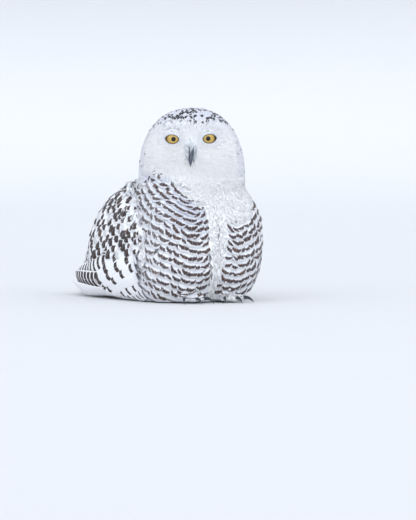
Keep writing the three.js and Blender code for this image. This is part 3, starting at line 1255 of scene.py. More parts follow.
@dataclass(frozen=True)
class Markings:
    """Where the plumage is white or barred, and where painted shade greys it. Skin and feathers
    read the same rules.
    """

    anatomy: Anatomy
    bib_foot: float = 171 * MM
    bib_right: float = 54 * MM
    bib_left: float = 22 * MM
    bib_left_foot: float = 140 * MM
    parting_top: float = 15 * MM
    parting_foot: float = 3 * MM
    face_half: float = 80 * MM
    face_tall: float = 83 * MM
    face_level: float = 13 * MM

    def bib_edge(self, off: Array) -> Array:
        """Height of the bib's lower edge, by the distance to the left of the midline.

        Args:
            off: the distances.

        Returns:
            The heights.
        """
        foot = self.bib_foot + self.bib_right * ramp(-off, 18, 82)
        foot = foot + self.bib_left * ramp(off, 45, 100)
        left = ramp(off, 0, 14) * ramp(off, 96, 74)
        return foot - (self.bib_foot - self.bib_left_foot) * left

    def corner(self, points: Array) -> Array:
        """Share of the barred corner that reaches up under the right cheek, 0 off it.

        Args:
            points: where it is read.

        Returns:
            The shares.
        """
        off = self.anatomy.aside(points)
        under = ramp(points[:, 2] - self.bib_edge(off), 5, -4)
        return under * (off < 0) * ramp(self.anatomy.back(points), 125, 105)

    def white_front(self, points: Array) -> Array:
        """Share of white in the bib and the parting down the breast, 0 away from them.

        Args:
            points: where it is read.

        Returns:
            The shares.
        """
        off, high = self.anatomy.aside(points), points[:, 2]
        bib = ramp(high - self.bib_edge(off), -16, 13)
        half = self.parting_foot + (self.parting_top - self.parting_foot) * ramp(high, 15, 135)
        parting = ramp(np.abs(off) - half, 4, -1)
        return ramp(self.anatomy.back(points), 130, 95) * np.maximum(bib, parting)

    def body(self, points: Array) -> tuple[Array, Array]:
        """Marks of neck, breast, flanks and back.

        Args:
            points: places on the body.

        Returns:
            How dark the marks are, and how much painted shade greys the feather, both from 0 to 1.
        """
        barred = 1 - self.white_front(points)
        off, back, high = self.anatomy.aside(points), self.anatomy.back(points), points[:, 2]
        front = ramp(back, 150, 100)
        shoulder = ramp(np.abs(off), 76, 88) * ramp(high, 194, 206) * ramp(back, 85, 110)
        flank = ramp(np.abs(off), 85, 110) * front
        # Painted shade: the barred breast is greyed, most of all high on the bird's right.
        shade = mound(off, -50 * MM, 50 * MM) * mound(high, 160 * MM, 45 * MM)
        ink = barred * (1 - shoulder) * (1.0 - 0.10 * flank)
        return ink, barred * front * (0.20 + 0.60 * shade)

    def face(self, points: Array) -> Array:
        """Share of white face: 1 inside it, 0 on crown, sides and nape.

        Args:
            points: where it is read.

        Returns:
            The shares.
        """
        place = self.anatomy.face_place(points)
        over = np.maximum(place[:, 2] - self.face_level, 0.0)
        reach = (np.abs(place[:, 0]) / self.face_half) ** 4 + (over / self.face_tall) ** 4
        white = rise(reach, 1.12, 0.88) * ramp(place[:, 1], -5, 12)
        return white * (1 - self.corner(points))

    def head(self, points: Array) -> tuple[Array, Array]:
        """Marks of the head.

        Args:
            points: places on the head.

        Returns:
            How dark the flecks are and how grey the feather is, partly painted shade, both from 0
            to 1.
        """
        x, y, z = self.anatomy.face_place(points).T
        crown = ramp(z - 9 * MM * ramp(x, 20, 60), 66, 88)
        cheek, coloured = self.corner(points), 1 - self.face(points)
        ink = np.maximum(coloured * (0.12 + 0.88 * crown + 0.45 * ramp(y, 10, -35)), 0.7 * cheek)
        # The grey is partly the feathers' own and partly painted shade, heaviest on the crown under
        # the light from above.
        grey = coloured * (0.34 + 0.30 * crown) + 0.5 * cheek
        return np.clip(ink, 0, 1), np.clip(grey, 0, 1)


@dataclass(frozen=True)
class WingMarkings:
    """Where a folded wing's coverts are dark, by place behind its front edge and over the floor."""

    side: Side
    foot: float = 72 * MM
    front_foot: float = 83 * MM
    front_slope: float = 0.6
    band_high: float = 206 * MM
    band_slope: float = 0.92
    band_half: float = 7 * MM
    band_end: float = 105 * MM

    def behind(self, points: Array) -> Array:
        """How far behind the wing's front edge places are."""
        return points[:, 1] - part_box(self.side.of("wing_{}_coverts"))[0][1]

    def covered(self, points: Array) -> Array:
        """Share of small coverts: all above the long feathers' bases, none below."""
        return ramp(points[:, 2] - self.foot, -5, 3)

    def ink(self, points: Array) -> Array:
        """How dark the marks are: none on the front edge and on a band below the shoulder.

        Args:
            points: where it is read.

        Returns:
            The shares, 1 for the darkest.
        """
        behind, high = self.behind(points), points[:, 2]
        front = ramp(behind - (self.front_foot - self.front_slope * high), -8, 3)
        front = front * (1 - ramp(high, 198, 212) * ramp(behind, 78, 64))
        off = (high - self.band_high + self.band_slope * behind) / math.hypot(1.0, self.band_slope)
        band = mound(off, 0.0, self.band_half) * ramp(behind - self.band_end, 0, -25)
        return front * (1 - 0.95 * band)


@dataclass(frozen=True)
class BodyLie:
    """How the plumage lies on neck and trunk: in two lobes, parted down the breast."""

    anatomy: Anatomy
    ridge: float = 12 * MM
    ridge_half: float = 24 * MM
    lobe: float = 46 * MM
    lobe_round: float = 38 * MM

    def distance(self, points: Array) -> Array:
        """How far from the throat places are, the same all along a row of feathers.

        Args:
            points: the places.

        Returns:
            The distances.
        """
        low = ramp(self.anatomy.back(points), 110, 70) * ramp(points[:, 2], 185, 140)
        parting = self.ridge * mound(self.anatomy.aside(points), 0.0, self.ridge_half) * low
        return np.linalg.norm(points - self.anatomy.throat, axis=1) + parting

    def fall(self, points: Array) -> Array:
        """Downward distance, greater away from the middle of each lobe."""
        aside = np.hypot(self.anatomy.aside(points), self.anatomy.back(points))
        return np.hypot(aside - self.lobe, self.lobe_round) - points[:, 2]

    def way(self, points: Array, normals: Array) -> Array:
        """Directions that feathers point in."""
        return slope(self.fall, points, normals)


@dataclass(frozen=True)
class WingLie:
    """How the coverts lie on a folded wing: back and down from over the shoulder."""

    side: Side
    ahead: float = 85 * MM
    above: float = 120 * MM
    inward: float = 5 * MM

    def distance(self, points: Array) -> Array:
        """How far places are from the point that the coverts lie away from.

        Args:
            points: the places.

        Returns:
            The distances.
        """
        low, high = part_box(self.side.of("wing_{}_coverts"))
        near = high[0] if self.side is Side.RIGHT else low[0]
        source = (near + self.side.value * self.inward, low[1] - self.ahead, high[2] + self.above)
        return np.linalg.norm(points - np.array(source), axis=1)

    def way(self, points: Array, normals: Array) -> Array:
        """Directions that coverts point in."""
        return slope(self.distance, points, normals)


# ---------------------------------------------------------------- rows of feathers


@dataclass(frozen=True)
class Rows:
    """Sets feathers in staggered rows across the lie of a surface."""

    surface: Surface
    distance: Callable[[Array], Array]
    step: Callable[[float], float]
    gap: Callable[[Array], Array]
    seed: int
    wander: float = 0.10

    def starts(self, low: float) -> tuple[Array, Array, Array]:
        """Works out where every feather's visible end begins.

        Args:
            low: the distance of the first row.

        Returns:
            Points, normals, and each one's place on an unwrap of the surface.
        """
        chance = np.random.default_rng(self.seed)
        values = self.distance(self.surface.points)
        high = float(values.max())
        places, normals, spots = [], [], []
        level, row = low, 0
        while level < high:
            for line, ups in self.surface.contours(values, level):
                where, up, share = self.spread(line, ups, row, chance)
                places.append(where)
                normals.append(up)
                height = np.full(len(share), (level - low) / (high - low))
                spots.append(np.stack([share, height], 1))
            level += self.step(level)
            row += 1
        return np.concatenate(places), np.concatenate(normals), 0.01 + 0.98 * np.concatenate(spots)

    def spread(
        self, line: Array, ups: Array, row: int, chance: np.random.Generator
    ) -> tuple[Array, Array, Array]:
        """Spaces feathers along one row.

        Args:
            line: the row's points.
            ups: the normals at them.
            row: the row's number, which staggers it.
            chance: the source of small irregularities.

        Returns:
            Points, normals and shares of the way along the row.
        """
        stride = np.linalg.norm(np.diff(line, axis=0), axis=1)
        pace = self.gap(line)
        count = np.concatenate([[0], np.cumsum(stride / ((pace[1:] + pace[:-1]) / 2))])
        if count[-1] < 1:
            return np.empty((0, 3)), np.empty((0, 3)), np.empty(0)
        ticks = np.arange(0.5 * (row % 2) + 0.25, count[-1], 1.0)
        ticks = ticks + chance.normal(0, self.wander, len(ticks))
        up = unit(resampled(ticks, count, ups))
        return resampled(ticks, count, line), up, np.clip(ticks / count[-1], 0, 1)


@dataclass(frozen=True)
class Habit:
    """How feathers of one region grow, in metres and shares."""

    length: float
    width: float
    depth: float
    proud: float
    turn: float
    uneven: float = 0.10
    roll: float = 0.05
    ease: float = 1.0
    stations: int = 5
    patch: float = 3 * MM

    def grown(
        self,
        surface: Surface,
        ends: tuple[Array, Array, Array],
        ways: Array,
        marks: tuple[Array, Array],
        seed: int,
        scale: Array | float = 1.0,
    ) -> Lay:
        """Grows feathers so that their tips come to given places.

        Args:
            surface: the outline they lie on.
            ends: where the tips come, the outline's normals there, and places on the unwrap.
            ways: the directions they point in.
            marks: how dark and how grey each one is, the grey partly painted shade.
            seed: picks the small irregularities.
            scale: each one's size as a share of the habit's.

        Returns:
            The feathers.
        """
        tips, normals, spots = ends
        chance = np.random.default_rng(seed)
        many = len(tips)
        size = scale * (1 + chance.normal(0, self.uneven, many))
        lengths = self.length * size
        swing = chance.normal(0, self.turn, many)[:, None]
        ways = unit(ways + np.cross(normals, ways) * swing)
        starts = tips - ways * lengths[:, None] * 0.98
        spine, up = surface.trace(starts, ways, lengths, self.stations)
        number, roll = chance.uniform(0, 1, many), chance.normal(0, self.roll, many)
        width = self.width * size
        lay = Lay(spine, up, width, *marks, number, spots, roll, (self.patch, self.patch))
        depth = self.depth * scale * chance.uniform(0.8, 1.2, many)
        proud = self.proud * scale * chance.uniform(0.0, 1.6, many)
        return lay.lifted(depth, proud, self.ease)


# ---------------------------------------------------------------- the parts of the owl


@dataclass(frozen=True)
class Skin:
    """One skin for all the flesh, inside the outline by the depth of the coat."""

    anatomy: Anatomy
    markings: Markings
    lie: BodyLie
    nodes: list[str]
    under: list[str]
    voxel: float = 4.5 * MM
    passes: int = 5
    body_depth: float = 7.0 * MM
    head_depth: float = 4.0 * MM
    foot_depth: float = 2.2 * MM
    eye_clear: float = 16.4 * MM
    floor_clear: float = 0.8 * MM
    row_scale: float = 0.5

    def build(self) -> None:
        """Makes the skin."""
        outline = Surface(self.nodes + self.under, self.voxel, self.passes)
        on_head = ramp(self.anatomy.face_place(outline.points)[:, 2], -60, -20)
        depth = self.body_depth + (self.head_depth - self.body_depth) * on_head
        depth = depth + (self.foot_depth - depth) * ramp(outline.points[:, 2], 45, 25)
        points = outline.points - outline.normals * depth[:, None]
        points[:, 2] = np.maximum(points[:, 2], self.floor_clear)
        for side in Side:
            eye = middle(side.of("eye_{}"))
            away = points - eye
            far = np.linalg.norm(away, axis=1)
            near = far < self.eye_clear
            points[near] = eye + away[near] / far[near, None] * self.eye_clear
        mesh = outline.mesh
        mesh.vertices.foreach_set("co", points.astype(np.float32).ravel())
        mesh.update()
        body, head = self.markings.body(outline.points), self.markings.head(outline.points)
        ink, grey = (on_body + (over - on_body) * on_head for on_body, over in zip(body, head))
        write_marks(mesh, ink, grey, self.lie.distance(outline.points) / self.row_scale)
        settle(link("skin", mesh, SkinFinish().build()), Slot.SKIN, *self.nodes)


@dataclass(frozen=True)
class BodyPlumage:
    """Neck, breast, flanks and back in rows that run round the body."""

    anatomy: Anatomy
    markings: Markings
    lie: BodyLie
    outline: Surface
    wings: list[Surface]
    first_row: float = 30 * MM
    small_step: float = 5.5 * MM
    step: float = 12.5 * MM
    grow_from: float = 8 * MM
    grow_over: float = 48 * MM
    gap: float = 14.5 * MM
    lowest: float = 3 * MM
    under_wing: float = 5 * MM
    down_spacing: float = 2.3 * MM
    down_lowest: float = 4 * MM
    down_under_wing: float = 4 * MM
    seed: int = 11
    down_seed: int = 15
    down: Habit = Habit(15 * MM, 3.2 * MM, 2.4 * MM, proud=0.9 * MM, turn=0.14, uneven=0.2)
    vane: VaneShape = VaneShape(across=10, rounding=0.15, fringe=0.045, camber=0.05)
    habit: Habit = Habit(
        31 * MM, 21 * MM, 6.5 * MM, proud=0.9 * MM, turn=0.14, ease=1.3, patch=7 * MM
    )

    def growth(self, distance: Array) -> Array:
        """Share of full size by the distance from the throat."""
        return rise(distance - self.first_row, self.grow_from, self.grow_from + self.grow_over)

    def size(self, points: Array) -> Array:
        """Size of the feathers at places, as a share of those on the breast.

        Args:
            points: the places.

        Returns:
            The shares.
        """
        small = self.small_step / self.step
        back = ramp(self.anatomy.back(points), 110, 230)
        return small + (1 - small) * self.growth(self.lie.distance(points)) + 0.30 * back

    def row_step(self, level: float) -> float:
        """Distance from one row to the next."""
        return self.small_step + (self.step - self.small_step) * float(self.growth(np.array(level)))

    def gaps(self, points: Array) -> Array:
        """Distance from one feather of a row to the next."""
        return self.gap * self.size(points)

    def build(self) -> None:
        """Makes the barred plumage and the white down."""
        rows = Rows(self.outline, self.lie.distance, self.row_step, self.gaps, self.seed)
        tips, normals, spots = rows.starts(self.first_row)
        top = np.where(self.markings.corner(tips) > 0.3, -5 * MM, -12 * MM)
        keep = (self.anatomy.face_place(tips)[:, 2] < top) & (tips[:, 2] > self.lowest)
        limit = np.random.default_rng(self.seed + 2).uniform(0.35, 0.95, len(tips))
        keep &= self.markings.white_front(tips) < limit
        for wing in self.wings:
            keep &= wing.depth(tips) < self.under_wing
        ends = kept(keep, tips, normals, spots)
        ways, marks = self.lie.way(*ends[:2]), self.markings.body(ends[0])
        lay = self.habit.grown(self.outline, ends, ways, marks, self.seed + 1, self.size(ends[0]))
        finish = FeatherFinish(
            "barred_breast", first=0.82, pitch=0.62, thick=0.105, arc=0.02, taper=0.055,
            shift=0.07, ragged=0.014, soft=0.042, ink=BROWN,
        )
        Coat("coat_body", Slot.BARRED, finish, self.vane, self.seed + 9, kinds=5).build(lay)
        self.build_down()

    def build_down(self) -> None:
        """Makes the soft white plumage of the bib and the parting."""
        points, normals = self.outline.sprinkled(self.down_spacing, self.down_seed)
        chance = np.random.default_rng(self.down_seed + 1)
        keep = self.markings.white_front(points) > chance.uniform(0.25, 0.7, len(points))
        keep &= self.anatomy.face_place(points)[:, 2] < -8 * MM
        keep &= points[:, 2] > self.down_lowest
        for wing in self.wings:
            keep &= wing.depth(points) < self.down_under_wing
        points, normals = kept(keep, points, normals)
        marks = (np.zeros(len(points)), chance.uniform(0, 0.12, len(points)))
        ways = across(self.lie.way(points, normals) + np.array([0.0, 0.0, -1.2]), normals)
        scale = 0.75 + 0.35 * ramp(self.lie.distance(points), 60, 120)
        ends = (points, normals, strewn(points[:, [0, 2]], 0.3))
        lay = self.down.grown(self.outline, ends, ways, marks, self.down_seed + 2, scale)
        finish = replace(DOWNY, name="white_bib")
        Coat("coat_bib", Slot.WHITE, finish, TuftShape(point=0.5), self.down_seed + 3).build(lay)


@dataclass(frozen=True)
class HeadPlumage:
    """Small dense feathers of the head: white face, flecked crown and nape."""

    anatomy: Anatomy
    markings: Markings
    outline: Surface
    eyes: list["Eye"]
    face_count: int = 36000
    eye_count: int = 1500
    crown_count: int = 3800
    face_habit: Habit = Habit(
        7.5 * MM, 2.3 * MM, 2.6 * MM, proud=0.4 * MM, turn=0.20, uneven=0.16, stations=3
    )
    crown_habit: Habit = Habit(
        14.5 * MM, 9.0 * MM, 3.4 * MM, proud=0.5 * MM, turn=0.32, uneven=0.18, stations=4,
        patch=6 * MM,
    )
    foot: float = -46 * MM
    lowest: float = -0.62
    bill_root_rise: float = 14 * MM
    face_seed: int = 31
    crown_seed: int = 33
    eye_seed: int = 36
    tuft_seed: int = 40
    vane_seed: int = 50

    def scatter(self, count: int, seed: int) -> tuple[Array, Array, Array]:
        """Spreads places evenly over the head.

        Args:
            count: how many there would be on a whole sphere.
            seed: picks the small irregularities.

        Returns:
            Points, normals, and places on the unwrap of the dome about the way the face looks.
        """
        chance = np.random.default_rng(seed)
        i = np.arange(count) + 0.5
        polar = np.arccos(1 - 2 * i / count)
        turn = math.pi * (1 + math.sqrt(5)) * i
        local = [np.sin(polar) * np.cos(turn), np.cos(polar), np.sin(polar) * np.sin(turn)]
        local = np.stack(local, 1)
        local = unit(local + chance.normal(0, 1.6 / math.sqrt(count) * 0.35, local.shape))
        axes = np.stack([self.anatomy.eye_line, self.anatomy.gaze, (0.0, 0.0, 1.0)])
        ways, polar, turn = kept(local[:, 2] > self.lowest, local @ axes, polar, turn)
        centre = np.tile(self.anatomy.head, (len(ways), 1))
        points, normals, struck = self.outline.cast(centre, unit(ways))
        struck &= self.anatomy.face_place(points)[:, 2] > self.foot
        return tuple(kept(struck, points, normals, self.unwrapped(polar, turn)))

    @staticmethod
    def unwrapped(polar: Array, turn: Array) -> Array:
        """Places on the unwrap, by the angle from the way the face looks and the turn about it."""
        reach = 0.49 * polar / math.pi
        return 0.5 + np.stack([reach * np.cos(turn), reach * np.sin(turn)], 1)

    def way(self, points: Array, normals: Array) -> Array:
        """Lie of the head's feathers: out from the eyes and the bill, then back and down.

        Args:
            points: places on the head.
            normals: its normals there.

        Returns:
            Unit directions along the surface.
        """
        ways = unit(points - middle("bill_upper") - np.array([0, 0, self.bill_root_rise]))
        for eye in self.eyes:
            near = rise(eye.spread(points), 2.6, 1.0)[:, None]
            ways = ways * (1 - near) + unit(points - eye.centre) * near * 1.3
        back = ramp(self.anatomy.face_place(points)[:, 1], 20, -30)[:, None]
        trail = unit(-self.anatomy.gaze * 0.55 + np.array([0.0, 0.25, -0.8]))
        return across(ways * (1 - back) + trail * back, normals)

    def spread(self, points: Array) -> Array:
        """How far out from the nearer eye places lie, 1 at its lids' edge."""
        return np.min([eye.spread(points) for eye in self.eyes], axis=0)

    def build(self) -> None:
        """Makes the head's plumage."""
        white = replace(DOWNY, name="white_face", barbs=6.0)
        Coat("coat_face", Slot.WHITE, white, TuftShape(), self.tuft_seed).build(self.face_lay())
        flecked = FeatherFinish(
            "flecked_crown", first=0.76, pitch=0.9, thick=0.20, arc=0.1, reach=0.8, shift=0.14,
            ragged=0.08, soft=0.04, barbs=14.0, ink=SOOT,
        )
        vane = VaneShape(across=5, along=3, rounding=0.4, fringe=0.12)
        Coat("coat_crown", Slot.BARRED, flecked, vane, self.vane_seed).build(self.crown_lay())

    def crown_lay(self) -> Lay:
        """Lays the feathers of crown, sides and nape, dark in clumps.

        Returns:
            The feathers where they lie.
        """
        points, normals, spots = self.scatter(self.crown_count, self.crown_seed)
        keep = (self.markings.face(points) < 0.7) & (self.spread(points) > 1.6)
        above = self.anatomy.face_place(points)[:, 2] > -12 * MM
        keep &= above | (self.markings.corner(points) < 0.3)
        ends = kept(keep, points, normals, spots)
        ink, grey = self.markings.head(ends[0])
        x, y, z = ends[0].T
        wave = np.sin(x * 330 + 2.5 * np.sin(y * 240 + 1.0)) * np.sin(y * 300 + z * 180)
        chance = np.random.default_rng(self.crown_seed + 1).uniform(0, 1, len(ink))
        shown = chance < ink * (0.28 + 0.62 * rise(wave, -0.45, 0.35))
        ink = np.where(shown, np.clip(ink + 0.45, 0, 1), 0.03)
        ways, seed = self.way(*ends[:2]), self.crown_seed + 2
        return self.crown_habit.grown(self.outline, ends, ways, (ink, grey), seed)

    def face_lay(self) -> Lay:
        """Lays the white face's small feathers, smallest round the eyes, longest at the throat.

        Returns:
            The feathers where they lie.
        """
        places = self.scatter(self.face_count, self.face_seed)
        keep = (self.markings.face(places[0]) > 0.3) & (self.spread(places[0]) > 1.0)
        both = zip(kept(keep, *places), self.around_eyes())
        points, normals, spots = (np.concatenate(pair) for pair in both)
        low = ramp(self.anatomy.face_place(points)[:, 2], -5, -42)
        scale = (0.32 + 0.68 * rise(self.spread(points), 1.0, 2.3)) * (1 + 0.9 * low)
        ways = self.way(points, normals)
        marks = (np.zeros(len(points)), self.face_shade(points))
        tips = points + ways * (self.face_habit.length * scale * 0.95)[:, None]
        ends, seed = (tips, normals, spots), self.face_seed + 1
        lay = self.face_habit.grown(self.outline, ends, ways, marks, seed, scale)
        for eye in self.eyes:
            lay = replace(lay, spine=eye.pushed_off(lay.spine))
        return lay

    def around_eyes(self) -> tuple[Array, Array, Array]:
        """Spreads more places close round each eye.

        Returns:
            Points, normals, and places on the unwrap.
        """
        chance = np.random.default_rng(self.eye_seed)
        gaze, found = self.anatomy.gaze, []
        for eye in self.eyes:
            turn = chance.uniform(0, 2 * math.pi, self.eye_count)
            scale = 1.12 + 0.9 * chance.uniform(0, 1, self.eye_count) ** 1.5
            flat = np.array([eye.opening(t, k) for t, k in zip(turn, scale)])
            start = eye.centre + np.outer(flat[:, 0], self.anatomy.eye_line) + gaze * BEFORE_FACE
            start[:, 2] += flat[:, 1]
            points, normals, struck = self.outline.cast(start, np.tile(-gaze, (len(start), 1)))
            found.append(kept(struck, points, normals))
        points, normals = (np.concatenate(pair) for pair in zip(*found))
        polar = np.arccos(np.clip(unit(points - self.anatomy.head) @ gaze, -1, 1))
        local = self.anatomy.face_place(points)
        return points, normals, self.unwrapped(polar, np.arctan2(local[:, 2], local[:, 0]))

    def face_shade(self, points: Array) -> Array:
        """Painted shade on the white face: the brow, darkened against the light from above; round
        the eyes, partly a ring of greyer fine feathers; and a shadow line beside the bill.

        Args:
            points: where it is read.

        Returns:
            The greys, 0 for pure white.
        """
        x, _, z = self.anatomy.face_place(points).T
        level = self.anatomy.face_place(middle("bill_upper"))[2] - 8 * MM
        line = mound(z, level, 3.5 * MM) * ramp(np.abs(x), 8, 14) * ramp(np.abs(x), 56, 40)
        ring = rise(self.spread(points), 1.9, 1.0)
        # Painted shade: shadow line beside the bill, the brow, and the ring round the eyes.
        return 0.03 + 0.10 * line + 0.26 * ramp(z, 58, 92) + 0.16 * ring


@dataclass(frozen=True)
class Eye:
    """One eyeball with its bulging cornea, and the bare lids round it."""

    anatomy: Anatomy
    side: Side
    toe_in: float = math.radians(3)
    glance: float = math.radians(3.5)
    half_wide: float = 11.2 * MM
    half_over: float = 7.0 * MM
    half_under: float = 7.7 * MM
    outward: float = 1.9 * MM
    aside: float = 0.9 * MM
    corner: float = 0.55
    tilt: float = 0.06
    rim: float = 1.3 * MM
    clear: float = 0.8 * MM
    lid_over: float = 0.8 * MM
    lid_thick: float = 0.5 * MM
    lid_rings: tuple[tuple[float, float], ...] = (
        (0.985, -0.3), (0.995, 0.5), (1.03, 1.0), (1.08, 0.85),
        (1.13, 0.1), (1.25, -0.5), (1.5, -0.5), (1.8, -0.5),
    )
    bare: float = 1.12
    bulge: float = 0.8 * MM
    bulge_half: float = 0.62
    map_size: float = 40 * MM
    segments: int = 72

    @property
    def node(self) -> str:
        """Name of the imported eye."""
        return self.side.of("eye_{}")

    @property
    def centre(self) -> Array:
        """Centre of the eyeball."""
        return middle(self.node)

    @property
    def radius(self) -> float:
        """Radius of the eyeball."""
        low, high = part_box(self.node)
        return float(high[2] - low[2]) / 2

    @property
    def shift(self) -> float:
        """How far the opening's middle is to the bird's left of the eyeball's."""
        return self.outward * self.side.value + self.aside

    @property
    def frame(self) -> Matrix:
        """Turns the eye's own frame, which looks along -Y, to the way the face looks."""
        axes = (Vector(self.anatomy.eye_line), -Vector(self.anatomy.gaze), Vector((0, 0, 1)))
        return Matrix.Translation(Vector(self.centre)) @ Matrix(axes).transposed().to_4x4()

    def opening(self, angle: float, scale: float) -> tuple[float, float]:
        """A point on the almond edge between the lids, which is pointed at its outer corner.

        Args:
            angle: turn round the opening, from the bird's left.
            scale: the edge's size as a share of the opening's.

        Returns:
            Distances to the side and up, in the eye's own frame.
        """
        x, up = math.cos(angle), math.sin(angle)
        point = self.corner * max(0.0, x * self.side.value) ** 2
        high = self.half_over if up > 0 else self.half_under
        z = math.copysign(abs(up) ** (1 + point), up) * high
        x *= self.half_wide
        return x * scale + self.shift, (z + x * self.tilt * self.side.value) * scale

    def spread(self, points: Array) -> Array:
        """How far out places lie, as a share of the lids' outer edge, and a lot behind the face.

        Args:
            points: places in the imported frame.

        Returns:
            Below 1 on the opening and its lids, above 1 where feathers grow.
        """
        away = points - self.centre
        x = away @ self.anatomy.eye_line - self.shift
        z = away[:, 2] - x * self.tilt * self.side.value
        high = np.where(z > 0, self.half_over, self.half_under) + self.rim
        spread = np.hypot(x / (self.half_wide + self.rim), z / high)
        return np.where(away @ self.anatomy.gaze > -4 * MM, spread, 9.0)

    def pushed_off(self, points: Array) -> Array:
        """Moves places out of the eyeball, to just over it.

        Args:
            points: the places.

        Returns:
            Those inside, moved straight out, and the others as they were.
        """
        away = points - self.centre
        far = np.linalg.norm(away, axis=-1, keepdims=True)
        return self.centre + away * np.maximum(far, self.radius + self.bulge + self.clear) / far

    def build(self, iris: bpy.types.Material, lid: bpy.types.Material, face: Surface) -> None:
        """Makes the eyeball and, close round it over the head's outline, its lids."""
        self.build_ball(iris)
        self.build_lids(lid, face)

    def build_ball(self, iris: bpy.types.Material) -> None:
        """Makes the eyeball, turned a little towards the bill.

        Args:
            iris: its finish.
        """
        form = bmesh.new()
        bmesh.ops.create_uvsphere(form, u_segments=64, v_segments=48, radius=self.radius)
        bmesh.ops.rotate(form, verts=form.verts, matrix=Matrix.Rotation(math.pi / 2, 3, "X"))
        back, places = 17 * MM, []
        for vert in form.verts:
            from_axis = math.acos(max(-1.0, min(1.0, -vert.co.y / self.radius)))
            x, z = (vert.co.x, vert.co.z) if vert.co.y < 0 else (back, back)
            places.append((0.5 + x / self.map_size, 0.5 + z / self.map_size))
            cornea = math.exp(-((from_axis / self.bulge_half) ** 2))
            vert.co *= 1 + self.bulge / self.radius * cornea
        turn = Matrix.Rotation(self.glance - self.toe_in * self.side.value, 4, "Z")
        form.transform(self.frame @ turn)
        layer = form.loops.layers.uv.new(VANE_MAP)
        for face in form.faces:
            for loop in face.loops:
                loop[layer].uv = places[loop.vert.index]
        name = self.side.of("eyeball_{}")
        settle(link(name, meshed(form, name), iris), Slot.EYE, self.node)

    def build_lids(self, lid: bpy.types.Material, face: Surface) -> None:
        """Makes both lids as one ring: a black rolled rim, then pale skin under the plumage.

        Args:
            lid: the finish.
            face: the head's outline, which the ring's outer edge comes to.
        """
        form = bmesh.new()
        layer = form.verts.layers.float_color.new(MARKS)
        bmesh.ops.create_circle(form, segments=self.segments, radius=1.0)
        ring = sorted(form.verts, key=lambda vert: math.atan2(vert.co.y, vert.co.x))
        angles = [math.atan2(vert.co.y, vert.co.x) for vert in ring]
        loops = [ring]
        for _ in self.lid_rings[1:]:
            edges = [form.edges.get((a, b)) for a, b in zip(ring, ring[1:] + ring[:1])]
            made = bmesh.ops.extrude_edge_only(form, edges=edges)["geom"]
            fresh = {item for item in made if isinstance(item, bmesh.types.BMVert)}
            beside = [[edge.other_vert(vert) for edge in vert.link_edges] for vert in ring]
            ring = [next(vert for vert in near if vert in fresh) for near in beside]
            loops.append(ring)
        for ring, (scale, over) in zip(loops, self.lid_rings):
            self.place_ring(ring, angles, scale, over, face)
            for vert in ring:
                vert[layer] = (float(scale < self.bare), 0.0, 0.0, 1.0)
        bmesh.ops.recalc_face_normals(form, faces=form.faces[:])
        if sum(face.normal.y for face in form.faces) > 0:
            bmesh.ops.reverse_faces(form, faces=form.faces[:])
        bmesh.ops.solidify(form, geom=form.faces[:], thickness=self.lid_thick)
        bmesh.ops.recalc_face_normals(form, faces=form.faces[:])
        form.transform(self.frame)
        name = self.side.of("lids_{}")
        piece = link(name, meshed(form, name), lid)
        refine(piece, 1)
        settle(piece, Slot.LID)

    def place_ring(
        self,
        ring: list[bmesh.types.BMVert],
        angles: list[float],
        scale: float,
        over: float,
        face: Surface,
    ) -> None:
        """Puts one ring of the lids on the eyeball, or further out on the face.

        Args:
            ring: its vertices.
            angles: each vertex's turn round the opening.
            scale: its size as a share of the opening's.
            over: its height over the eyeball, as a share of the lids' thickness.
            face: the head's outline.
        """
        ball = self.radius + self.bulge * 0.9 + self.lid_over * over
        out = float(rise(np.array(scale), 1.10, 1.30))
        frame = self.frame
        way = (frame.to_3x3() @ Vector((0, 1, 0))).normalized()
        for vert, angle in zip(ring, angles):
            x, z = self.opening(angle, scale)
            on_ball = math.sqrt(max(ball**2 - x * x - z * z, 0.0))
            hit = face.tree.ray_cast(frame @ Vector((x, -BEFORE_FACE, z)), way)[0]
            on_face = -(frame.inverted() @ hit).y - self.clear if hit else on_ball
            vert.co = Vector((x, -on_ball - max(on_face - on_ball, 0.0) * out, z))


def smooth_copy(node: str, material: bpy.types.Material) -> None:
    """Makes a smooth piece of horn in place of a faceted node.

    Args:
        node: the node's name.
        material: the finish of the smooth piece.
    """
    piece = link(node + "_horn", meshed(copied(node), node + "_horn"), material)
    refine(piece, 2)
    settle(piece, Slot.HORN, node)


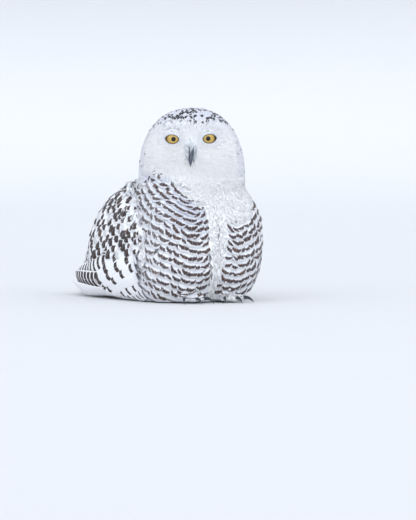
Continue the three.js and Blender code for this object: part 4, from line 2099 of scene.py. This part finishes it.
@dataclass(frozen=True)
class Bill:
    """Hooked black bill, half hidden by bristles."""

    anatomy: Anatomy
    front: Surface
    black: Colour = (0.012, 0.016, 0.022, 1.0)
    slate: Colour = (0.075, 0.095, 0.140, 1.0)
    bristles: int = 620
    middle_share: float = 0.45
    grey_share: float = 0.38
    stations: int = 6
    seed: int = 61

    def build(self) -> None:
        """Makes the bill and its bristles."""
        horn = HornFinish("bill_horn", self.black, self.slate).build()
        for node in ("bill_upper", "bill_lower"):
            smooth_copy(node, horn)
        self.build_bristles()

    def build_bristles(self) -> None:
        """Makes the bristles: they spring over and beside the bill and sweep down over its root."""
        chance = np.random.default_rng(self.seed)
        many = self.bristles
        root = middle("bill_upper")
        root[2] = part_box("bill_upper")[1][2]
        which = np.where(np.arange(many) % 2 == 0, 1.0, -1.0)
        central = chance.uniform(0, 1, many) < self.middle_share
        aside = np.where(central, chance.uniform(0, 4.5, many), chance.uniform(4.5, 12, many)) * MM
        over = chance.normal(5.0, 3.2, many), 6 - 24 * chance.uniform(0, 1, many)
        over = np.where(central, *over) * MM
        inward = np.where(central, 0.35 * aside, np.maximum(0.42 * aside, 4.6 * MM))
        length = np.where(central, chance.uniform(7, 12, many), chance.uniform(9, 15, many)) * MM
        along = np.linspace(0, 1, self.stations)[None, :]
        x = (which * aside)[:, None] + (which * (inward - aside))[:, None] * along**1.3
        gaze = self.anatomy.gaze
        starts = root + x[..., None] * self.anatomy.eye_line + gaze * BEFORE_FACE
        starts[..., 2] += over[:, None] - length[:, None] * along
        points, normals, _ = self.front.cast(
            starts.reshape(-1, 3), np.tile(-gaze, (many * self.stations, 1))
        )
        tips, roots = chance.uniform(0.5, 2.2, many), chance.uniform(-2.6, -0.8, many)
        off = (tips[:, None] * along + roots[:, None] * (1 - along)) * MM
        spine = np.array([evened(line) for line in points.reshape(starts.shape)])
        width = np.where(central, 1.3, 1.1) * MM
        grey = chance.uniform(0, 1, many) < self.grey_share
        ink = np.where(grey, chance.uniform(0.3, 1, many), 0.0)
        number, spots = chance.uniform(0, 1, many), chance.uniform(0.05, 0.95, (many, 2))
        zero = np.zeros(many)
        spine = spine + gaze * off[..., None]
        lay = Lay(spine, normals.reshape(starts.shape), width, ink, zero, number, spots, zero)
        tuft = TuftShape(rings=6, thick=0.6, point=0.75)
        Coat("bristles", Slot.WHITE, BristleFinish(), tuft, self.seed + 1, kinds=3).build(lay)


@dataclass(frozen=True)
class Feet:
    """Feathered shanks and toes, and the claws at their ends."""

    habit: Habit = Habit(9 * MM, 3.2 * MM, 1.6 * MM, proud=0.2 * MM, turn=0.2, stations=3)
    voxel: float = 2.6 * MM
    passes: int = 3
    dense: float = 0.42
    lowest: float = 1.5 * MM
    seed: int = 71

    def build(self) -> None:
        """Makes the feet's plumage and the claws."""
        horn = HornFinish("claw_horn").build()
        for node in sorted(frame["nodes"]):
            if node.startswith("claw_"):
                smooth_copy(node, horn)
        outline = Surface([side.of("leg_{}") for side in Side], self.voxel, self.passes)
        chance = np.random.default_rng(self.seed)
        keep = chance.uniform(0, 1, len(outline.points)) < self.dense
        keep &= outline.points[:, 2] > self.lowest
        points, normals = kept(keep, outline.points, outline.normals)
        ways = across(np.tile([0.0, -1.0, -0.25], (len(points), 1)), normals)
        low, high = outline.points.min(0), outline.points.max(0)
        spots = 0.02 + 0.96 * (points[:, :2] - low[:2]) / (high[:2] - low[:2])
        spots[:, 0] = 0.5 * spots[:, 0] + 0.5 * (normals[:, 2] < 0)
        marks = (np.zeros(len(points)), np.full(len(points), 0.05))
        lay = self.habit.grown(outline, (points, normals, spots), ways, marks, self.seed + 1)
        white = replace(DOWNY, name="white_feet", barbs=6.0)
        tuft = TuftShape(point=0.45)
        Coat("coat_feet", Slot.WHITE, white, tuft, self.seed + 2, kinds=3).build(lay)


@dataclass(frozen=True)
class Fan:
    """Long feathers that run back along the wing, fanned from one angle over its core to another.

    Each pair is the value at the fan's upper feather and at its lowest one. Roots and tips are
    millimetres behind the origin, and angles degrees above the level, seen from the tail.
    """

    layer: str
    count: int
    root: tuple[float, float]
    tip: tuple[float, float]
    root_angle: tuple[float, float]
    tip_angle: tuple[float, float]
    width: float
    bars: float
    thick: float
    proud: float
    shown: float = 1.0
    plain: int = 0
    arc: float = 0.16
    reach: float = 0.90
    shift: float = 0.4
    under: float = 4.0 * MM
    roll: float = 0.06
    stations: int = 14


FANS = (
    Fan(
        "primaries", 5, (-120, -130), (246, 150), (-8, -60), (24, -42), width=33 * MM, bars=21,
        thick=0.36, proud=-0.4 * MM, plain=1, arc=0.08, shift=0.3,
    ),
    Fan(
        "secondaries", 11, (-60, -70), (116, 158), (72, -14), (74, -8), width=33 * MM, bars=10,
        thick=0.23, proud=0.4 * MM,
    ),
    Fan(
        "primary_coverts", 7, (-146, -140), (4, -38), (-4, -50), (-26, -56), width=30 * MM, bars=4,
        thick=0.15, proud=1.2 * MM, reach=0.62, shift=1.0, shown=0.85,
    ),
)


@dataclass(frozen=True)
class Wing:
    """One folded wing: rows of coverts over long secondaries and primaries."""

    anatomy: Anatomy
    side: Side
    outline: Surface
    body: Surface
    marks: WingMarkings
    step: float = 21 * MM
    small_step: float = 8 * MM
    gap: float = 13.0 * MM
    habit: Habit = Habit(
        42 * MM, 20 * MM, 4.0 * MM, proud=0.8 * MM, turn=0.14, uneven=0.15, ease=1.2, patch=10 * MM
    )
    vane: VaneShape = VaneShape(rounding=0.22, fringe=0.06)
    edge: Habit = Habit(17 * MM, 3.6 * MM, 2.0 * MM, proud=1.6 * MM, turn=0.16, uneven=0.2)
    edge_spacing: float = 2.4 * MM
    edge_wide: float = 26 * MM
    flare: float = 34 * MM
    outside: float = 0.4
    seed: int = 80
    seed_apart: int = 100
    edge_seed: int = 140
    fan_seed: int = 90

    def size(self, points: Array) -> Array:
        """Size of the coverts at places, smallest at the shoulder and the leading edge."""
        return 0.5 + 0.5 * ramp(self.marks.behind(points), 5, 95)

    def gaps(self, points: Array) -> Array:
        """Distance from one covert of a row to the next."""
        return self.gap * self.size(points) ** 0.6

    def core(self, y: Array) -> Array:
        """Points of the body's core line, which falls towards the tip of the tail.

        Args:
            y: how far back the points lie.

        Returns:
            The points.
        """
        coverts = middle(self.side.of("wing_{}_coverts"))
        ends, heights = [coverts[1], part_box("tail")[1][1]], [coverts[2], middle("tail")[2]]
        return np.stack([np.full(len(y), self.anatomy.keel), y, np.interp(y, ends, heights)], 1)

    def build(self) -> None:
        """Makes the wing's plumage."""
        self.build_coverts()
        self.build_edge()
        for fan in FANS:
            self.build_fan(fan)

    def build_coverts(self) -> None:
        """Makes the coverts."""
        lie = WingLie(self.side)
        seed = abs(self.seed + self.seed_apart * self.side.value)
        node = self.side.of("wing_{}_coverts")
        first = float(lie.distance(self.outline.points).min())

        def row_step(level: float) -> float:
            """Distance from one row to the next."""
            grown_up = float(ramp(level - first, 0, 100))
            return self.small_step + (self.step - self.small_step) * grown_up

        rows = Rows(self.outline, lie.distance, row_step, self.gaps, seed, wander=0.2)
        tips, normals, spots = rows.starts(first + 4 * MM)
        keep = (self.body.depth(tips) < 4 * MM) & (self.marks.covered(tips) > 0.5)
        keep &= tips[:, 1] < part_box(node)[1][1] + 12 * MM
        keep &= (normals * unit(tips - self.core(tips[:, 1]))).sum(1) > 0.35
        ends = kept(keep, tips, normals, spots)
        chance = np.random.default_rng(seed + 1).uniform(0, 1, len(ends[0]))
        ink = self.marks.ink(ends[0]) * np.where(chance < 0.9, 1.0, 0.25)
        marks = (ink, np.full(len(ink), 0.06))
        scale = self.size(ends[0])
        lay = self.habit.grown(self.outline, ends, lie.way(*ends[:2]), marks, seed + 2, scale)
        look = {"first": 0.75, "pitch": 0.80, "thick": 0.19, "arc": 0.05, "reach": 0.52}
        finish = FeatherFinish(self.side.of("spotted_coverts_{}"), **look, wedge=2.1, shift=0.12)
        name = self.side.of("coat_coverts_{}")
        Coat(name, Slot.WING, finish, self.vane, seed + 3).build(lay, node)

    def build_edge(self) -> None:
        """Makes the soft white edging down the wing's front, from the shoulder to the floor."""
        seed = self.edge_seed + self.side.value
        chance = np.random.default_rng(seed)
        points, normals = self.outline.sprinkled(self.edge_spacing, seed)
        behind = self.marks.behind(points)
        near = rise(behind, self.edge_wide, 0.4 * self.edge_wide)
        keep = near > chance.uniform(0.1, 0.9, len(points))
        keep &= (points[:, 2] > 5 * MM) & (self.body.depth(points) < 3 * MM)
        keep &= ramp(points[:, 2], 192, 168) > chance.uniform(0.05, 0.95, len(points))
        points, normals, behind = kept(keep, points, normals, behind)
        ways = across(np.tile([0.0, 0.75, -0.9], (len(points), 1)), normals)
        spots = strewn(np.stack([behind, points[:, 2]], 1), np.array([0.1, 0.3]))
        marks = (np.zeros(len(points)), chance.uniform(0, 0.25, len(points)))
        lay = self.edge.grown(self.outline, (points, normals, spots), ways, marks, seed)
        finish = replace(DOWNY, name=self.side.of("white_edge_{}"))
        name = self.side.of("coat_edge_{}")
        Coat(name, Slot.WHITE, finish, TuftShape(point=0.5), seed).build(lay)

    def build_fan(self, fan: Fan) -> None:
        """Makes one fan of long feathers.

        Args:
            fan: where its feathers run.
        """
        share = np.linspace(0, 1, fan.count)[:, None]
        along = np.linspace(0, 1, fan.stations)[None, :]

        def spread(root: tuple[float, float], tip: tuple[float, float]) -> Array:
            """Value at every station of every feather, between those at the roots and the tips."""
            first, last = (ends[0] + (ends[1] - ends[0]) * share for ends in (root, tip))
            return (first * (1 - along) + last * along).ravel()

        start = self.core(spread(fan.root, fan.tip) * MM)
        angle = np.radians(spread(fan.root_angle, fan.tip_angle))
        way = np.stack([self.side.value * np.cos(angle), 0 * angle, np.sin(angle)], 1)
        points, normals, struck = self.outline.cast(start + way * self.outside, -way)
        flare = self.flare * ramp(points[:, 1], -10, 75) * ramp(points[:, 1], 235, 115)
        points[:, 0] += self.side.value * flare * ramp(points[:, 2], 57, 14)
        end = self.marks.behind(np.array(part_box(self.side.of("wing_{}_coverts"))))[1]
        lines, ups = [], []
        for i in range(fan.count):
            one = slice(i * fan.stations, (i + 1) * fan.stations)
            line, up = kept(struck[one], points[one], normals[one])
            if len(line) < 4:
                continue
            under = self.marks.covered(line) * (self.marks.behind(line) < end)
            line = line + up * (fan.proud - fan.under * under)[:, None]
            ticks, index = np.linspace(0, len(line) - 1, fan.stations), np.arange(len(line))
            lines.append(evened(resampled(ticks, index, line)))
            ups.append(unit(evened(unit(resampled(ticks, index, up)))))
        many = len(lines)
        chance = np.random.default_rng(self.fan_seed + fan.count)
        ink = (chance.uniform(0, 1, many) < fan.shown).astype(float)
        ink[many - fan.plain :] = 0.0
        roll = np.full(many, self.side.value * fan.roll)
        number = chance.uniform(0, 1, many)
        lay = side_by_side(lines, np.array(ups), fan.width, ink, number, roll)
        look = {key: getattr(fan, key) for key in ("thick", "arc", "reach", "shift")}
        label = f"{fan.layer}_{self.side.name.lower()}"
        finish = FeatherFinish(
            "barred_" + label, first=fan.bars - 0.7, pitch=1.0, **look,
            ragged=0.05, soft=0.03, barbs=5.0, shaft=0.05,
        )
        vane = replace(LONG_VANE, along=24, bars=fan.bars)
        node = self.side.of("wing_{}_") + fan.layer
        nodes = [node] if node in frame["nodes"] else []
        coat = Coat("coat_" + label, Slot.FLIGHT, finish, vane, self.fan_seed + 1, kinds=2)
        coat.build(lay, *nodes)


@dataclass(frozen=True)
class Tail:
    """Twelve broad tail feathers, fanned a little, the middle pair on top."""

    outline: Surface
    count: int = 12
    root_half: float = 9 * MM
    tip_half: float = 25 * MM
    forward: float = 45 * MM
    width: float = 25 * MM
    stations: int = 10
    bars: float = 6.0
    above: float = 0.3
    seed: int = 101

    def build(self) -> None:
        """Makes the tail."""
        low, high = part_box("tail")
        core = middle("tail")
        along = np.linspace(0, 1, self.stations)
        share = np.linspace(-1, 1, self.count)[:, None]
        x = core[0] + share * (self.root_half + (self.tip_half - self.root_half) * along)
        first, last = low[1] - self.forward, high[1] - 9 * MM * share**2
        y = first + (last - first) * along[None, :]
        start = np.stack([x, y, np.full_like(x, self.above)], -1).reshape(-1, 3)
        points, _, struck = self.outline.cast(start, np.tile(DOWNWARD, (len(start), 1)))
        points[~struck, 2] = core[2]
        points = points.reshape(self.count, self.stations, 3)
        points[..., 2] = np.where(y < low[1], high[2] - 4 * MM, points[..., 2])
        points[..., 2] += 0.6 * MM - 2.2 * MM * np.abs(share)
        up = np.tile([0.0, 0.0, 1.0], (self.count, self.stations, 1))
        number = np.random.default_rng(self.seed).uniform(0, 1, self.count)
        ink, roll = np.full(self.count, 0.95), 0.07 * np.sign(share[:, 0])
        lines = [evened(line) for line in points]
        lay = side_by_side(lines, up, self.width, ink, number, roll)
        look = {"first": self.bars - 0.75, "pitch": 1.0, "thick": 0.13, "arc": 0.2}
        finish = FeatherFinish("barred_tail", **look, ragged=0.08, soft=0.03, barbs=5.0)
        vane = replace(LONG_VANE, along=20, bars=self.bars)
        Coat("coat_tail", Slot.FLIGHT, finish, vane, self.seed + 1, kinds=2).build(lay, "tail")


# ---------------------------------------------------------------- studio


@dataclass(frozen=True)
class Studio:
    """Camera, soft light and a plain pale floor that curves up behind the bird."""

    azimuth: float = math.radians(-27)
    elevation: float = math.radians(2.5)
    distance: float = 8.0
    view_height: float = 0.910
    sensor: float = 36.0
    far: float = 60.0
    sky: Colour = (0.885, 0.93, 1.0, 1.0)
    glow: tuple[float, float] = (0.91, 2.13)
    glow_ends: tuple[float, float] = (0.15, 0.95)
    glow_lift: float = 0.25
    lamp_place: tuple[float, float, float] = (-1.2, -3.2, 3.2)
    lamp_size: float = 2.6
    lamp_power: float = 10.0
    aim: tuple[float, float, float] = (21.95 * MM, -161.3 * MM, 72.7 * MM)
    floor_half: float = 9.0
    floor_ahead: float = 10.0
    wall_behind: float = 5.0
    wall_high: float = 5.0
    cove: float = 3.0
    cove_steps: int = 16

    @property
    def ahead(self) -> Vector:
        """Level direction from the bird to the camera."""
        return Vector((math.sin(self.azimuth), -math.cos(self.azimuth), 0.0))

    def build(self) -> None:
        """Sets up camera, lights and floor."""
        self.build_camera()
        self.build_light()
        self.build_floor()

    def build_camera(self) -> None:
        """Places the camera."""
        back = self.ahead * math.cos(self.elevation)
        back.z = math.sin(self.elevation)
        lens = bpy.data.cameras.new("camera")
        lens.sensor_fit, lens.sensor_width = "AUTO", self.sensor
        lens.lens = self.sensor * self.distance / self.view_height
        lens.clip_end = self.far
        camera = link("camera", lens)
        camera.location = Vector(self.aim) + back * self.distance
        camera.rotation_euler = back.to_track_quat("Z", "Y").to_euler()
        bpy.context.scene.camera = camera

    def build_light(self) -> None:
        """Fills the studio with soft cool light, and hangs a square lamp that faces the bird."""
        scene = bpy.context.scene
        scene.view_settings.view_transform = "Standard"
        scene.world = bpy.data.worlds.new("soft_room")
        scene.world.use_nodes = True
        nodes, links = scene.world.node_tree.nodes, scene.world.node_tree.links
        sky = next(node for node in nodes if node.type == "BACKGROUND")
        sky.inputs["Color"].default_value = self.sky
        facing = nodes.new("ShaderNodeVectorMath")
        facing.operation = "DOT_PRODUCT"
        facing.inputs[1].default_value = (self.ahead + Vector((0, 0, self.glow_lift))).normalized()
        links.new(nodes.new("ShaderNodeTexCoord").outputs["Generated"], facing.inputs[0])
        glow = nodes.new("ShaderNodeMapRange")
        glow.interpolation_type = "SMOOTHSTEP"
        for socket, value in zip(glow.inputs[1:5], (*self.glow_ends, *self.glow)):
            socket.default_value = value
        links.new(facing.outputs["Value"], glow.inputs["Value"])
        links.new(glow.outputs[0], sky.inputs["Strength"])
        lamp = bpy.data.lights.new("key", "AREA")
        lamp.size, lamp.energy = self.lamp_size, self.lamp_power
        light = link("key", lamp)
        light.location = self.lamp_place
        light.rotation_euler = Vector(self.lamp_place).to_track_quat("Z", "Y").to_euler()

    def build_floor(self) -> None:
        """Makes the floor as one sheet that turns up behind the bird."""
        form = bmesh.new()
        side = Vector((math.cos(self.azimuth), math.sin(self.azimuth), 0))
        profile = [(self.floor_ahead, 0.0), (-self.wall_behind, 0.0)]
        for i in range(1, self.cove_steps + 1):
            turn = i / self.cove_steps * math.pi / 2
            run, high = self.cove * math.sin(turn), self.cove * (1 - math.cos(turn))
            profile.append((-self.wall_behind - run, high))
        profile.append((-self.wall_behind - self.cove, self.cove + self.wall_high))
        edge = -side * self.floor_half
        places = [self.ahead * run + edge + Vector((0, 0, high)) for run, high in profile]
        verts = [form.verts.new(place) for place in places]
        edges = [form.edges.new(pair) for pair in zip(verts, verts[1:])]
        made = bmesh.ops.extrude_edge_only(form, edges=edges)["geom"]
        fresh = [item for item in made if isinstance(item, bmesh.types.BMVert)]
        bmesh.ops.translate(form, verts=fresh, vec=side * 2 * self.floor_half)
        bmesh.ops.recalc_face_normals(form, faces=form.faces[:])
        link("floor", meshed(form, "floor"), StageFinish().build())


# ---------------------------------------------------------------- main


def plain(box: tuple) -> list[list[float]]:
    """Turns a box's corners into plain lists of numbers."""
    return [[float(value) for value in corner] for corner in box]


def main() -> None:
    """Builds the owl and its studio, part by part."""
    logging.basicConfig(level=logging.INFO, format="%(name)s: %(message)s")
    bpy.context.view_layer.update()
    Studio().build()
    anatomy = Anatomy()
    markings, lie = Markings(anatomy), BodyLie(anatomy)
    flesh = ["head", "neck", "trunk"] + [side.of("leg_{}") for side in Side]
    Skin(anatomy, markings, lie, flesh, [side.of("wing_{}_coverts") for side in Side]).build()
    body = Surface(flesh, voxel=3.5 * MM, passes=8)
    wings = {}
    for side in Side:
        layers = [side.of("wing_{}_") + layer for layer in ("coverts", "secondaries", "primaries")]
        wings[side] = Surface(layers, voxel=3.5 * MM, passes=6)
    face = Surface(["head", "neck", "eye_right", "eye_left"], voxel=2.4 * MM, passes=9)
    BodyPlumage(anatomy, markings, lie, body, list(wings.values())).build()
    eyes = [Eye(anatomy, side) for side in Side]
    iris, lid = IrisFinish().build(), LidFinish().build()
    for eye in eyes:
        eye.build(iris, lid, face)
    HeadPlumage(anatomy, markings, face, eyes).build()
    Bill(anatomy, Surface(["head", "bill_upper", "bill_lower"])).build()
    Feet().build()
    Tail(Surface(["tail"], voxel=3.0 * MM, passes=3)).build()
    for side in Side:
        Wing(anatomy, side, wings[side], body, WingMarkings(side)).build()


if __name__ == "__main__":
    main()
